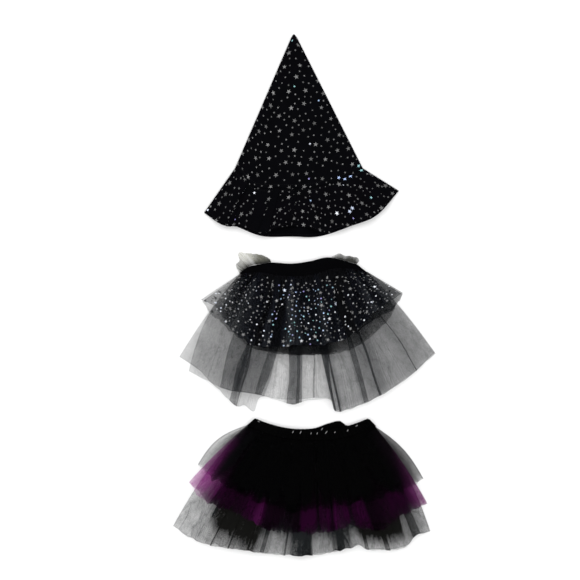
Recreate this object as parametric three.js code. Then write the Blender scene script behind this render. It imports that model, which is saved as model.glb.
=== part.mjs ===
// Witch costume laid flat on a table: a star-covered hat, a tiered capelet and a tulle tutu.
// Frame: millimetres, +X to the right, +Y towards the hat's tip, +Z up from the surface that it lies on.
// The origin is the middle of the footprint. Each piece of cloth is a closed wall with its own folds.
import * as THREE from "three";

// Cloth walls, top to bottom of each wall
const TULLE_WALL = 1.0;
const HAT_WALL = 1.6;
const YOKE_WALL = 1.8;
const WAISTBAND_WALL = 2.5;

// Distances between pieces
const SEAM_GAP = 0.3;
const LAYER_SLACK = 0.9;
const SEAM_STITCHES = 40;

// The distance over which a gathered stack opens from its seam to its full height
const OPENING_LENGTH = 60;
const OPENING_ROWS = [0, 14, 34, 60];

// Heights of the sewn bands, measured away from the neck and the waist
const YOKE_HEIGHT = 28;
const WAISTBAND_HEIGHT = 23;
const WAISTBAND_GATHERS = 20;
const WAISTBAND_GATHER_HEIGHT = 0.8;

// The soft crown of the hat lifts its front panel a little off the back panel
const CROWN_PUFF = 3.2;

// Lesser gathers, as shares of their spacing and of the tier's own fold height
const GATHER_SWAY = 0.22;
const GATHER_WIDTH = 0.24;
const GATHER_HEIGHT = 0.42;
const GATHER_UNEVENNESS = 0.2;

// The share of a tier's width over which a bowed side edge fades out
const BOW_SHARE = 0.3;

// Colours, roughness
const STAR_CLOTH = { color: 0x15161b, roughness: 0.55 };
const BLACK_CLOTH = { color: 0x0b0b0d, roughness: 0.85 };
const BLACK_SATIN = { color: 0x0c0c0e, roughness: 0.35 };
const BLACK_TULLE = { color: 0x16131a, roughness: 0.8 };
const PURPLE_TULLE = { color: 0x4a1244, roughness: 0.75 };
const GREY_TULLE = { color: 0x5c5d61, roughness: 0.8 };
const PALE_TULLE = { color: 0x9d9a96, roughness: 0.8 };

const part = new THREE.Group();

// Curves and small functions

const smooth = (t) => {
  const s = Math.min(1, Math.max(0, t));
  return s * s * (3 - 2 * s);
};

// A smooth line through the rows of a table of x and y, read by its share of the length.
function lineThrough(rows) {
  const points = rows.map(({ x, y }) => new THREE.Vector3(x, y, 0));
  const curve = new THREE.CatmullRomCurve3(points, false, "centripetal");
  curve.arcLengthDivisions = 400;
  return (share) => curve.getPointAt(Math.min(1, Math.max(0, share)));
}

// A line in short straight stitches, so that two pieces that meet along it keep their gap
// however their own columns fall.
function stitched(line) {
  const stitches = Array.from({ length: SEAM_STITCHES + 1 }, (_, i) => line(i / SEAM_STITCHES));
  return (share) => {
    const along = Math.min(1, Math.max(0, share)) * SEAM_STITCHES;
    const before = Math.min(SEAM_STITCHES - 1, Math.floor(along));
    return stitches[before].clone().lerp(stitches[before + 1], along - before);
  };
}

// The same line moved away from the point that the gathers fan out from.
function movedOut(line, fan, distance) {
  return stitched((share) => {
    const point = line(share);
    const away = new THREE.Vector3(point.x - fan.x, point.y - fan.y, 0).normalize();
    return point.addScaledVector(away, distance);
  });
}

// The line that the next piece starts on: square to this line, one seam gap below it.
function acrossSeam(line) {
  const step = 1 / SEAM_STITCHES;
  return stitched((share) => {
    const along = line(Math.min(1, share + step)).sub(line(Math.max(0, share - step))).normalize();
    return line(share).add(new THREE.Vector3(along.y, -along.x, 0).multiplyScalar(SEAM_GAP));
  });
}

// How far the stack of layers may open at a place: nothing at the garment's two side edges, all of it
// further in. The edges are angles from straight down, at a near and a far distance from the fan point.
function sideFactor(garment, x, y) {
  const { fan, near, far, sideWidth } = garment;
  const angle = THREE.MathUtils.radToDeg(Math.atan2(x - fan.x, fan.y - y));
  const distance = Math.hypot(x - fan.x, y - fan.y);
  const share = smooth((distance - near.distance) / (far.distance - near.distance));
  const left = THREE.MathUtils.lerp(near.left, far.left, share);
  const right = THREE.MathUtils.lerp(near.right, far.right, share);
  return smooth((angle - left) / sideWidth) * smooth((right - angle) / sideWidth);
}

// Folds of a tier, as shares of its width: main folds from a table, lesser gathers between them.
function foldsOf(mainFolds, gathers) {
  const lesser = Array.from({ length: gathers }, (_, i) => ({
    at: (i + 0.5 + GATHER_SWAY * Math.sin(2.4 * i)) / gathers,
    wide: GATHER_WIDTH / gathers,
    high: GATHER_HEIGHT + GATHER_UNEVENNESS * Math.sin(1.7 * i + 0.6),
  }));
  const apart = (main, fold) => Math.abs(main.at - fold.at) > main.wide + 1.6 * fold.wide;
  const clear = (fold) => mainFolds.every((main) => apart(main, fold));
  return [...mainFolds, ...lesser.filter(clear)].sort((a, b) => a.at - b.at);
}

// The ridge height at a share of the width, from 0 to 1.
function foldHeight(folds, share) {
  return Math.max(0, ...folds.map(({ at, wide, high }) => high * Math.exp(-(((share - at) / wide) ** 2))));
}

// Columns where the folds need them: on each ridge, on its two flanks, and in the valley after it.
function foldColumns(folds) {
  const columns = new Set([0, 1]);
  folds.forEach(({ at, wide }, i) => {
    columns.add(at - wide);
    columns.add(at);
    columns.add(at + wide);
    const next = folds[i + 1];
    if (next) columns.add((at + wide + next.at - next.wide) / 2);
  });
  const inside = [...columns].filter((share) => share >= 0 && share <= 1).sort((a, b) => a - b);
  return inside.filter((share, i) => i === 0 || share - inside[i - 1] > 1e-3);
}

// A closed wall of cloth over a grid: rows from seam to hem, columns from left to right.
// place(column share, row index) gives the middle of the wall, in x, y and z.
function clothWall(columns, rowCount, wall, place) {
  const positions = [];
  const across = columns.length;
  for (const side of [0.5, -0.5]) {
    for (let row = 0; row < rowCount; row += 1) {
      for (const share of columns) {
        const { x, y, z } = place(share, row);
        positions.push(x, y, z + side * wall);
      }
    }
  }
  const index = [];
  const under = rowCount * across;
  const at = (row, column) => row * across + column;
  for (let row = 0; row + 1 < rowCount; row += 1) {
    for (let column = 0; column + 1 < across; column += 1) {
      const a = at(row, column);
      const b = at(row + 1, column);
      const c = at(row + 1, column + 1);
      const d = at(row, column + 1);
      index.push(a, b, c, a, c, d);
      index.push(under + a, under + c, under + b, under + a, under + d, under + c);
    }
  }
  const rim = [];
  for (let row = 0; row < rowCount - 1; row += 1) rim.push(at(row, 0));
  for (let column = 0; column < across - 1; column += 1) rim.push(at(rowCount - 1, column));
  for (let row = rowCount - 1; row > 0; row -= 1) rim.push(at(row, across - 1));
  for (let column = across - 1; column > 0; column -= 1) rim.push(at(0, column));
  rim.forEach((here, i) => {
    const next = rim[(i + 1) % rim.length];
    index.push(here, under + here, under + next, here, under + next, next);
  });
  const geometry = new THREE.BufferGeometry();
  geometry.setAttribute("position", new THREE.Float32BufferAttribute(positions, 3));
  geometry.setIndex(index);
  geometry.computeVertexNormals();
  return geometry;
}

function addPiece(name, geometry, finish) {
  const mesh = new THREE.Mesh(geometry, new THREE.MeshStandardMaterial({ ...finish, metalness: 0 }));
  mesh.name = name;
  part.add(mesh);
}

// One gathered tier: it hangs from a seam line to its hem, in straight columns whose outer ones may bow
// outwards. layer counts from the surface up, and under lists the fold heights of the layers below it.
function addTier(name, finish, garment, tier) {
  const { seam, hem, layer, under, folds, hemRows = 2, wall = TULLE_WALL } = tier;
  const { bowLeft = 0, bowRight = 0 } = tier;
  const hemLine = lineThrough(hem);
  const belowFolds = under.reduce((sum, high) => sum + high, 0);
  const rowCount = OPENING_ROWS.length + hemRows;
  const outward = (side) => {
    const top = seam(side);
    const along = hemLine(side).sub(top).normalize();
    return side === 0 ? new THREE.Vector3(along.y, -along.x, 0) : new THREE.Vector3(-along.y, along.x, 0);
  };
  const outLeft = outward(0);
  const outRight = outward(1);
  const place = (share, row) => {
    const top = seam(share);
    const bottom = hemLine(share);
    const length = top.distanceTo(bottom);
    const last = OPENING_ROWS.length - 1;
    const beyond = Math.max(0, row - last) / hemRows;
    const pastOpening = OPENING_LENGTH + beyond * (length - OPENING_LENGTH);
    const distance = row <= last ? OPENING_ROWS[row] : pastOpening;
    const down = distance / length;
    const point = top.clone().lerp(bottom, down);
    const bulge = Math.sin(Math.PI * down);
    point.addScaledVector(outLeft, bowLeft * bulge * Math.max(0, 1 - share / BOW_SHARE) ** 2);
    point.addScaledVector(outRight, bowRight * bulge * Math.max(0, 1 - (1 - share) / BOW_SHARE) ** 2);
    const open = smooth(distance / OPENING_LENGTH);
    const side = sideFactor(garment, point.x, point.y);
    const own = tier.high * foldHeight(folds, share);
    const stack = layer * (wall + SEAM_GAP + LAYER_SLACK * open);
    point.z = wall / 2 + stack + open * side * (belowFolds + own);
    return point;
  };
  addPiece(name, clothWall(foldColumns(folds), rowCount, wall, place), finish);
}

// A flat band between a line and the same line moved away from the fan point, with raised gathers.
function addBand(name, finish, band) {
  const { upper, lower, wall, bottom, gathers, gatherHeight } = band;
  const steps = gathers > 0 ? 4 * gathers : SEAM_STITCHES;
  const rows = gathers > 0 ? 3 : 2;
  const columns = Array.from({ length: steps + 1 }, (_, i) => i / steps);
  const place = (share, row) => {
    const down = row / (rows - 1);
    const point = upper(share).lerp(lower(share), down);
    const ridge = 0.5 - 0.5 * Math.cos(2 * Math.PI * gathers * share);
    point.z = bottom + wall / 2 + gatherHeight * ridge * Math.sin(Math.PI * (0.15 + 0.7 * down));
    return point;
  };
  addPiece(name, clothWall(columns, rows, wall, place), finish);
}

// Hat: two cone panels and two brim panels, the back ones on the surface

const hat = {
  fan: { x: -56, y: 392 },
  near: { distance: 200, left: -36, right: 55 },
  far: { distance: 330, left: -35, right: 57 },
  sideWidth: 14,
};
const hatSeamRows = [
  { x: -146, y: 265 },
  { x: -102, y: 225 },
  { x: -62, y: 223 },
  { x: -9, y: 223 },
  { x: 24, y: 226 },
  { x: 85, y: 244 },
  { x: 123, y: 265 },
];
const hatSeam = stitched(lineThrough(hatSeamRows));
const brimSeam = acrossSeam(hatSeam);
const hatTip = lineThrough([
  { x: -28, y: 539 },
  { x: -22, y: 547 },
  { x: -15, y: 539 },
]);

function addCone(name, bottom, puff, across, down) {
  const columns = Array.from({ length: across + 1 }, (_, i) => i / across);
  const place = (share, row) => {
    const point = hatTip(share).lerp(hatSeam(share), row / (down - 1));
    const crown = Math.sin(Math.PI * share) * Math.sin((Math.PI * row) / (down - 1));
    point.z = bottom + HAT_WALL / 2 + puff * crown;
    return point;
  };
  addPiece(name, clothWall(columns, down, HAT_WALL, place), STAR_CLOTH);
}
addCone("hat_cone_back", 0, 0, 8, 5);
addCone("hat_cone_front", HAT_WALL + SEAM_GAP, CROWN_PUFF, 12, 9);

const BRIM_BACK_FOLD = 6;
const BRIM_FRONT_FOLD = 10;
const brimBackFolds = [
  { at: 0.12, wide: 0.06, high: 0.8 },
  { at: 0.3, wide: 0.05, high: 0.6 },
  { at: 0.48, wide: 0.07, high: 0.9 },
  { at: 0.7, wide: 0.06, high: 0.8 },
  { at: 0.88, wide: 0.05, high: 0.7 },
];
const brimFrontFolds = [
  { at: 0.09, wide: 0.05, high: 0.9 },
  { at: 0.2, wide: 0.035, high: 0.5 },
  { at: 0.31, wide: 0.05, high: 1 },
  { at: 0.43, wide: 0.04, high: 0.55 },
  { at: 0.55, wide: 0.05, high: 0.85 },
  { at: 0.67, wide: 0.04, high: 0.6 },
  { at: 0.79, wide: 0.05, high: 0.95 },
  { at: 0.91, wide: 0.04, high: 0.7 },
];
addTier("hat_brim_back", STAR_CLOTH, hat, {
  seam: brimSeam,
  hem: [
    { x: -210, y: 173 },
    { x: -135, y: 139 },
    { x: -89, y: 122 },
    { x: -30, y: 121 },
    { x: 29, y: 121 },
    { x: 98, y: 143 },
    { x: 150, y: 166 },
    { x: 197, y: 217 },
  ],
  layer: 0,
  under: [],
  folds: brimBackFolds,
  high: BRIM_BACK_FOLD,
  wall: HAT_WALL,
  hemRows: 2,
});
addTier("hat_brim_front", STAR_CLOTH, hat, {
  seam: brimSeam,
  hem: [
    { x: -211, y: 171 },
    { x: -171, y: 145 },
    { x: -133, y: 141 },
    { x: -95, y: 127 },
    { x: -47, y: 141 },
    { x: 1, y: 141 },
    { x: 43, y: 128 },
    { x: 98, y: 143 },
    { x: 150, y: 164 },
    { x: 199, y: 217 },
  ],
  layer: 1,
  under: [BRIM_BACK_FOLD],
  folds: brimFrontFolds,
  high: BRIM_FRONT_FOLD,
  wall: HAT_WALL,
  hemRows: 2,
});

// Capelet: a plain yoke, and three gathered tiers in front and three behind, nested in each other

const cape = {
  fan: { x: 1, y: 142 },
  near: { distance: 230, left: -55, right: 56 },
  far: { distance: 400, left: -42, right: 46 },
  sideWidth: 12,
};
const necklineRows = [
  { x: -113, y: 59 },
  { x: -70, y: 66 },
  { x: -26, y: 64 },
  { x: 12, y: 69 },
  { x: 50, y: 77 },
  { x: 110, y: 63 },
];
const neckline = lineThrough(necklineRows);
const yokeHem = movedOut(neckline, cape.fan, YOKE_HEIGHT);
const capeSeam = acrossSeam(yokeHem);
const CAPE_LAYERS = 6;
const capeStack = CAPE_LAYERS * TULLE_WALL + (CAPE_LAYERS - 1) * SEAM_GAP;

addBand("cape_yoke_back", BLACK_CLOTH, {
  upper: neckline,
  lower: yokeHem,
  wall: YOKE_WALL,
  bottom: 0,
  gathers: 0,
  gatherHeight: 0,
});
addBand("cape_yoke_front", BLACK_CLOTH, {
  upper: neckline,
  lower: yokeHem,
  wall: YOKE_WALL,
  bottom: capeStack - YOKE_WALL,
  gathers: 0,
  gatherHeight: 0,
});

const starFolds = foldsOf(
  [
    { at: 0.17, wide: 0.02, high: 0.9 },
    { at: 0.3, wide: 0.022, high: 0.8 },
    { at: 0.45, wide: 0.028, high: 1 },
    { at: 0.66, wide: 0.02, high: 0.85 },
    { at: 0.84, wide: 0.02, high: 0.9 },
  ],
  14,
);
const longFolds = foldsOf(
  [
    { at: 0.14, wide: 0.025, high: 0.9 },
    { at: 0.25, wide: 0.022, high: 1 },
    { at: 0.43, wide: 0.022, high: 0.95 },
    { at: 0.56, wide: 0.02, high: 0.9 },
    { at: 0.78, wide: 0.024, high: 1 },
    { at: 0.92, wide: 0.012, high: 0.7 },
  ],
  12,
);
const evenFolds = (count) => foldsOf([], count);

const capeLongFrontHem = [
  { x: -243, y: -162 },
  { x: -211, y: -178 },
  { x: -173, y: -200 },
  { x: -135, y: -235 },
  { x: -106, y: -246 },
  { x: -93, y: -216 },
  { x: -20, y: -231 },
  { x: 37, y: -220 },
  { x: 58, y: -225 },
  { x: 65, y: -246 },
  { x: 125, y: -230 },
  { x: 205, y: -185 },
  { x: 276, y: -125 },
];
const capeLongBackHem = [
  { x: -263, y: -132 },
  { x: -209, y: -165 },
  { x: -135, y: -210 },
  { x: -41, y: -225 },
  { x: 64, y: -223 },
  { x: 159, y: -200 },
  { x: 226, y: -159 },
  { x: 271, y: -118 },
];
const liningHem = [
  { x: -175, y: -32 },
  { x: -158, y: -69 },
  { x: -118, y: -109 },
  { x: -62, y: -124 },
  { x: 12, y: -127 },
  { x: 92, y: -118 },
  { x: 144, y: -84 },
  { x: 178, y: -52 },
  { x: 191, y: -29 },
];
const starFrontHem = [
  { x: -217, y: -12 },
  { x: -186, y: -27 },
  { x: -165, y: -61 },
  { x: -131, y: -92 },
  { x: -85, y: -112 },
  { x: -26, y: -106 },
  { x: 33, y: -105 },
  { x: 92, y: -89 },
  { x: 136, y: -48 },
  { x: 176, y: -17 },
  { x: 207, y: 2 },
];
const starBackHem = [
  { x: -215, y: -16 },
  { x: -190, y: -48 },
  { x: -135, y: -88 },
  { x: -30, y: -109 },
  { x: 85, y: -92 },
  { x: 155, y: -52 },
  { x: 192, y: -27 },
  { x: 207, y: -1 },
];

// Each row is one layer, from the surface up, with the height that its own folds reach.
const capeTiers = [
  {
    name: "cape_star_tier_back",
    finish: STAR_CLOTH,
    hem: starBackHem,
    folds: evenFolds(8),
    high: 1,
    hemRows: 1,
  },
  {
    name: "cape_lining_back",
    finish: BLACK_CLOTH,
    hem: liningHem,
    folds: evenFolds(8),
    high: 1.5,
    hemRows: 1,
  },
  {
    name: "cape_long_tier_back",
    finish: GREY_TULLE,
    hem: capeLongBackHem,
    folds: evenFolds(11),
    high: 3,
    bowLeft: 5,
    bowRight: 5,
  },
  {
    name: "cape_long_tier_front",
    finish: GREY_TULLE,
    hem: capeLongFrontHem,
    folds: longFolds,
    high: 6,
    bowLeft: 18,
    bowRight: 5,
  },
  {
    name: "cape_lining_front",
    finish: BLACK_CLOTH,
    hem: liningHem,
    folds: evenFolds(9),
    high: 2.5,
    hemRows: 1,
  },
  { name: "cape_star_tier_front", finish: STAR_CLOTH, hem: starFrontHem, folds: starFolds, high: 6 },
];
capeTiers.forEach(({ name, finish, ...tier }, layer) => {
  const under = capeTiers.slice(0, layer).map(({ high }) => high);
  addTier(name, finish, cape, { ...tier, seam: capeSeam, layer, under });
});

// The frills stand at the two ends of the yoke, between a sewn inner line and a free outer line.
const FRILL_HEIGHT = 4;
const FRILL_GATHERS = 5;
const frills = [
  {
    name: "cape_frill_left",
    inner: [
      { x: -70, y: 66.6 },
      { x: -90.8, y: 63.8 },
      { x: -113.2, y: 59.5 },
      { x: -135.8, y: 43 },
    ],
    outer: [
      { x: -75, y: 76 },
      { x: -98, y: 85 },
      { x: -125, y: 85 },
      { x: -141, y: 82 },
      { x: -145, y: 66 },
      { x: -144, y: 48 },
    ],
  },
  {
    name: "cape_frill_right",
    inner: [
      { x: 110.2, y: 63.5 },
      { x: 88.4, y: 69.7 },
      { x: 66.4, y: 75.5 },
    ],
    outer: [
      { x: 115, y: 72 },
      { x: 98, y: 79 },
      { x: 84, y: 81 },
      { x: 74, y: 85 },
      { x: 67, y: 81 },
    ],
  },
];
frills.forEach(({ name, inner, outer }) => {
  const sewn = lineThrough(inner);
  const free = lineThrough(outer);
  const steps = 4 * FRILL_GATHERS;
  const columns = Array.from({ length: steps + 1 }, (_, i) => i / steps);
  const place = (share, row) => {
    const away = row / 2;
    const point = sewn(share).lerp(free(share), away);
    const ridge = 0.5 - 0.5 * Math.cos(2 * Math.PI * FRILL_GATHERS * share);
    point.z = TULLE_WALL / 2 + FRILL_HEIGHT * ridge * (0.3 + 0.7 * away);
    return point;
  };
  addPiece(name, clothWall(columns, 3, TULLE_WALL, place), PALE_TULLE);
});

// Tutu: a gathered waistband, and three tiers in front and three behind, nested in each other

const tutu = {
  fan: { x: 25, y: -153 },
  near: { distance: 260, left: -50, right: 45 },
  far: { distance: 440, left: -43, right: 36 },
  sideWidth: 12,
};
const waistFrontRows = [
  { x: -104, y: -262 },
  { x: -73, y: -273 },
  { x: -35, y: -282 },
  { x: 30, y: -285 },
  { x: 85, y: -279 },
  { x: 133, y: -263 },
];
const waistBackRows = [
  { x: -104, y: -262 },
  { x: -73, y: -274 },
  { x: -35, y: -283 },
  { x: 20, y: -283 },
  { x: 50, y: -273 },
  { x: 75, y: -268 },
  { x: 90, y: -277 },
  { x: 133, y: -263 },
];
const waistFront = lineThrough(waistFrontRows);
const waistBack = lineThrough(waistBackRows);
const waistHem = movedOut(waistFront, tutu.fan, WAISTBAND_HEIGHT);
const tutuSeam = acrossSeam(waistHem);
const TUTU_LAYERS = 6;
const tutuStack = TUTU_LAYERS * TULLE_WALL + (TUTU_LAYERS - 1) * SEAM_GAP;

addBand("tutu_waistband_back", BLACK_SATIN, {
  upper: waistBack,
  lower: waistHem,
  wall: WAISTBAND_WALL,
  bottom: 0,
  gathers: 0,
  gatherHeight: 0,
});
addBand("tutu_waistband_front", BLACK_SATIN, {
  upper: waistFront,
  lower: waistHem,
  wall: WAISTBAND_WALL,
  bottom: tutuStack - WAISTBAND_WALL,
  gathers: WAISTBAND_GATHERS,
  gatherHeight: WAISTBAND_GATHER_HEIGHT,
});

const blackHem = [
  { x: -221, y: -364 },
  { x: -173, y: -399 },
  { x: -118, y: -420 },
  { x: -60, y: -446 },
  { x: -5, y: -452 },
  { x: 54, y: -442 },
  { x: 121, y: -434 },
  { x: 180, y: -418 },
  { x: 231, y: -399 },
  { x: 250, y: -388 },
];
const purpleHem = [
  { x: -243, y: -396 },
  { x: -223, y: -418 },
  { x: -196, y: -440 },
  { x: -144, y: -458 },
  { x: -89, y: -488 },
  { x: -1, y: -496 },
  { x: 29, y: -498 },
  { x: 100, y: -484 },
  { x: 155, y: -491 },
  { x: 197, y: -469 },
  { x: 259, y: -441 },
];
const greyHem = [
  { x: -276, y: -488 },
  { x: -228, y: -517 },
  { x: -177, y: -529 },
  { x: -118, y: -540 },
  { x: -47, y: -547 },
  { x: 26, y: -547 },
  { x: 96, y: -533 },
  { x: 121, y: -525 },
  { x: 150, y: -537 },
  { x: 192, y: -536 },
  { x: 226, y: -510 },
  { x: 265, y: -499 },
];
const BLACK_BOW = { bowLeft: 16, bowRight: 6 };
const PURPLE_BOW = { bowLeft: 12, bowRight: 5 };
const GREY_BOW = { bowLeft: 10, bowRight: 12 };
const tutuTiers = [
  {
    name: "tutu_black_tier_back",
    finish: BLACK_TULLE,
    hem: blackHem,
    folds: evenFolds(8),
    high: 1,
    ...BLACK_BOW,
  },
  {
    name: "tutu_purple_tier_back",
    finish: PURPLE_TULLE,
    hem: purpleHem,
    folds: evenFolds(9),
    high: 2.5,
    ...PURPLE_BOW,
  },
  {
    name: "tutu_grey_tier_back",
    finish: GREY_TULLE,
    hem: greyHem,
    folds: evenFolds(11),
    high: 4,
    ...GREY_BOW,
  },
  {
    name: "tutu_grey_tier_front",
    finish: GREY_TULLE,
    hem: greyHem,
    folds: evenFolds(14),
    high: 6,
    ...GREY_BOW,
  },
  {
    name: "tutu_purple_tier_front",
    finish: PURPLE_TULLE,
    hem: purpleHem,
    folds: evenFolds(13),
    high: 6,
    ...PURPLE_BOW,
  },
  {
    name: "tutu_black_tier_front",
    finish: BLACK_TULLE,
    hem: blackHem,
    folds: evenFolds(13),
    high: 7,
    ...BLACK_BOW,
  },
];
tutuTiers.forEach(({ name, finish, ...tier }, layer) => {
  const under = tutuTiers.slice(0, layer).map(({ high }) => high);
  addTier(name, finish, tutu, { ...tier, seam: tutuSeam, layer, under });
});

export default part;
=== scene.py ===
import math
import random

import bpy
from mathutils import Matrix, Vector


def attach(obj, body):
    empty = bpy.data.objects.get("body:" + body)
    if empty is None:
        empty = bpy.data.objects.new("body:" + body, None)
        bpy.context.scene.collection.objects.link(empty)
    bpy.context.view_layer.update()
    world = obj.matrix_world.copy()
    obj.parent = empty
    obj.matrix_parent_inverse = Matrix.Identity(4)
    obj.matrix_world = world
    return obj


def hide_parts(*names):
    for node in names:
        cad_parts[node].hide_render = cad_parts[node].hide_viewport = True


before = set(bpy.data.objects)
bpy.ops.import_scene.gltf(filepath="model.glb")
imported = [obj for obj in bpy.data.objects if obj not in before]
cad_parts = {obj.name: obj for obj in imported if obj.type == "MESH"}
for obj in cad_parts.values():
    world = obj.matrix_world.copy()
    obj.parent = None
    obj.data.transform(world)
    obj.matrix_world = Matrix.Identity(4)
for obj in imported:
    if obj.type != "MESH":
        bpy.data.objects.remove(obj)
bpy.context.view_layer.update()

# The studio: a white floor that the costume lies on, and soft light from above.
# The camera looks straight down at it, as on a product sheet.
CAMERA_X, CAMERA_Y = -0.0302, 0.0084
VIEW_WIDTH = 1.218
LENS_MM, SENSOR_MM = 85, 36
CLOTH_LEVEL = 0.012
FLOOR_SIZE, FLOOR_LEVEL = 12, -0.0004
SKY_STRENGTH = 0.95
LIGHTS = (
    # name, place and width in metres, power in watts
    ("key_light", (-0.8, 1.0, 2.8), 2.2, 26),
    ("fill_light", (1.2, -0.8, 2.6), 2.4, 14),
    ("glint_light", (1.6, 0.9, 2.0), 0.1, 3.0),
)
MOST_LAYERS_SEEN_THROUGH = 48
bpy.ops.mesh.primitive_plane_add(size=FLOOR_SIZE, location=(0, 0, FLOOR_LEVEL))
floor = bpy.context.object
floor.name = "floor"
floor_paint = bpy.data.materials.new("white_floor")
floor_paint.use_nodes = True
floor_shader = floor_paint.node_tree.nodes["Principled BSDF"]
floor_shader.inputs["Base Color"].default_value = (0.9, 0.9, 0.9, 1)
floor_shader.inputs["Roughness"].default_value = 0.9
floor_shader.inputs["Specular IOR Level"].default_value = 0.1
floor.data.materials.append(floor_paint)

distance = VIEW_WIDTH * LENS_MM / SENSOR_MM
bpy.ops.object.camera_add(location=(CAMERA_X, CAMERA_Y, distance + CLOTH_LEVEL), rotation=(0, 0, 0))
camera = bpy.context.object
camera.data.lens = LENS_MM
camera.data.sensor_width = SENSOR_MM
bpy.context.scene.camera = camera

sky = bpy.data.worlds.new("studio")
sky.use_nodes = True
sky.node_tree.nodes["Background"].inputs["Color"].default_value = (1, 1, 1, 1)
sky.node_tree.nodes["Background"].inputs["Strength"].default_value = SKY_STRENGTH
bpy.context.scene.world = sky
for light_name, light_place, light_size, light_power in LIGHTS:
    bpy.ops.object.light_add(type="AREA", location=light_place)
    lamp = bpy.context.object
    lamp.name = light_name
    lamp.data.size = light_size
    lamp.data.energy = light_power
    lamp.rotation_mode = "QUATERNION"
    lamp.rotation_quaternion = Vector(light_place).to_track_quat("Z", "Y")
bpy.context.scene.view_settings.view_transform = "Standard"
bpy.context.scene.cycles.transparent_max_bounces = MOST_LAYERS_SEEN_THROUGH


# Hat cone: two triangular panels of black cloth printed with foil stars, sewn together along both sides.
# Laid flat the front panel lies on the back one, lifted a little by the soft crown, with a few shallow dents.
# Sizes are in millimetres, which MM turns into metres
MM = 0.001
SEAM_GAP = 0.3
HAT_WALL = 1.6
CROWN_PUFF = 4.4
STEPS_PER_KNOT = 24


def smooth(value):
    """Eases a share in and out between 0 and 1."""
    share = min(1.0, max(0.0, value))
    return share * share * (3 - 2 * share)


def mixed(low, high, share):
    return low + (high - low) * share


def found_in(lengths, target, least):
    """Where a length falls in a rising list: the entry before it, and the share of the way on to the next."""
    low, high = 0, len(lengths) - 1
    while high - low > 1:
        middle = (low + high) // 2
        low, high = (middle, high) if lengths[middle] <= target else (low, middle)
    return low, (target - lengths[low]) / max(least, lengths[high] - lengths[low])


def line_through(points):
    """A smooth line through points, read by its share of the length."""
    knots = [Vector(point) for point in points]
    knots = [2 * knots[0] - knots[1], *knots, 2 * knots[-1] - knots[-2]]
    trace = []
    for before, start, end, after in zip(knots, knots[1:], knots[2:], knots[3:]):
        sides = ((before, start), (start, end), (end, after))
        first, second, third = [max(1e-4, (b - a).length ** 0.5) for a, b in sides]
        chord = (end - start) / second
        lead = ((start - before) / first - (end - before) / (first + second) + chord) * second
        trail = (chord - (after - start) / (second + third) + (after - end) / third) * second
        for step in range(STEPS_PER_KNOT):
            t = step / STEPS_PER_KNOT
            sharp_bend = (2 * start - 2 * end + lead + trail) * t**3
            soft_bend = (3 * end - 3 * start - 2 * lead - trail) * t**2
            trace.append(start + lead * t + (sharp_bend + soft_bend))
    trace.append(knots[-2])
    lengths = [0.0]
    for a, b in zip(trace, trace[1:]):
        lengths.append(lengths[-1] + (b - a).length)

    def at(share):
        low, part = found_in(lengths, min(1.0, max(0.0, share)) * lengths[-1], 1e-9)
        return trace[low].lerp(trace[low + 1], part)

    at.length = lengths[-1]
    return at


def wavering(seed, count):
    """A line of soft random values from -1 to 1 across a piece, read by its share, the same each time."""
    draw = random.Random(seed)
    heights = [draw.uniform(-1, 1) for _ in range(count + 2)]

    def at(share):
        place = min(1.0, max(0.0, share)) * count
        before = min(count, int(place))
        return mixed(heights[before], heights[before + 1], smooth(place - before))

    return at


def distances(places):
    """How far each place in a row lies from the first, along the row."""
    reach = [0.0]
    for a, b in zip(places, places[1:]):
        reach.append(reach[-1] + math.dist(a, b))
    return reach


def select_only(*pieces):
    """Selects these pieces alone, the first of them active."""
    bpy.ops.object.select_all(action="DESELECT")
    for piece in pieces:
        piece.select_set(True)
    bpy.context.view_layer.objects.active = pieces[0]


def give_values(mesh, label, values):
    """Stores a value for each vertex, which a material reads by its label."""
    mesh.attributes.new(label, "FLOAT", "POINT").data.foreach_set("value", values)


def mesh_piece(name, vertices, faces):
    """A piece from lists of its vertices and faces."""
    mesh = bpy.data.meshes.new(name)
    mesh.from_pydata(vertices, [], faces)
    piece = bpy.data.objects.new(name, mesh)
    bpy.context.scene.collection.objects.link(piece)
    return piece


def cloth_sheet(name, grid, cover=None, tint=None):
    """A sheet of cloth from a grid of places, rows from seam to hem. Its UV map is in metres. For each place,
    cover is how much it hides of what lies below, and tint says which of its colours it has."""
    rows, columns = len(grid), len(grid[0])
    bpy.ops.mesh.primitive_grid_add(x_subdivisions=columns - 1, y_subdivisions=rows - 1, size=1)
    sheet = bpy.context.object
    sheet.name = sheet.data.name = name
    mesh = sheet.data
    cells = []
    for vertex in mesh.vertices:
        column = round((vertex.co.x + 0.5) * (columns - 1))
        row = round((0.5 - vertex.co.y) * (rows - 1))
        cells.append((row, column))
        vertex.co = [value * MM for value in grid[row][column]]
    along = distances([place[:2] for place in grid[rows // 2]])
    drop = math.dist(grid[0][columns // 2], grid[-1][columns // 2])
    weave = mesh.uv_layers.active.data
    for loop in mesh.loops:
        row, column = cells[loop.vertex_index]
        weave[loop.index].uv = (along[column] * MM, -drop * row / (rows - 1) * MM)
    for label, values in (("cover", cover), ("tint", tint)):
        if values:
            give_values(mesh, label, [values[row][column] for row, column in cells])
    mesh.update()
    bpy.ops.object.shade_smooth()
    return sheet


def give_thickness(sheet, thickness):
    """Turns a sheet into a closed thin wall below its upper face."""
    select_only(sheet)
    bpy.ops.object.modifier_add(type="SOLIDIFY")
    wall = sheet.modifiers[-1]
    wall.thickness = thickness * MM
    wall.offset = -1
    wall.use_even_offset = False
    bpy.ops.object.modifier_apply(modifier=wall.name)


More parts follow.
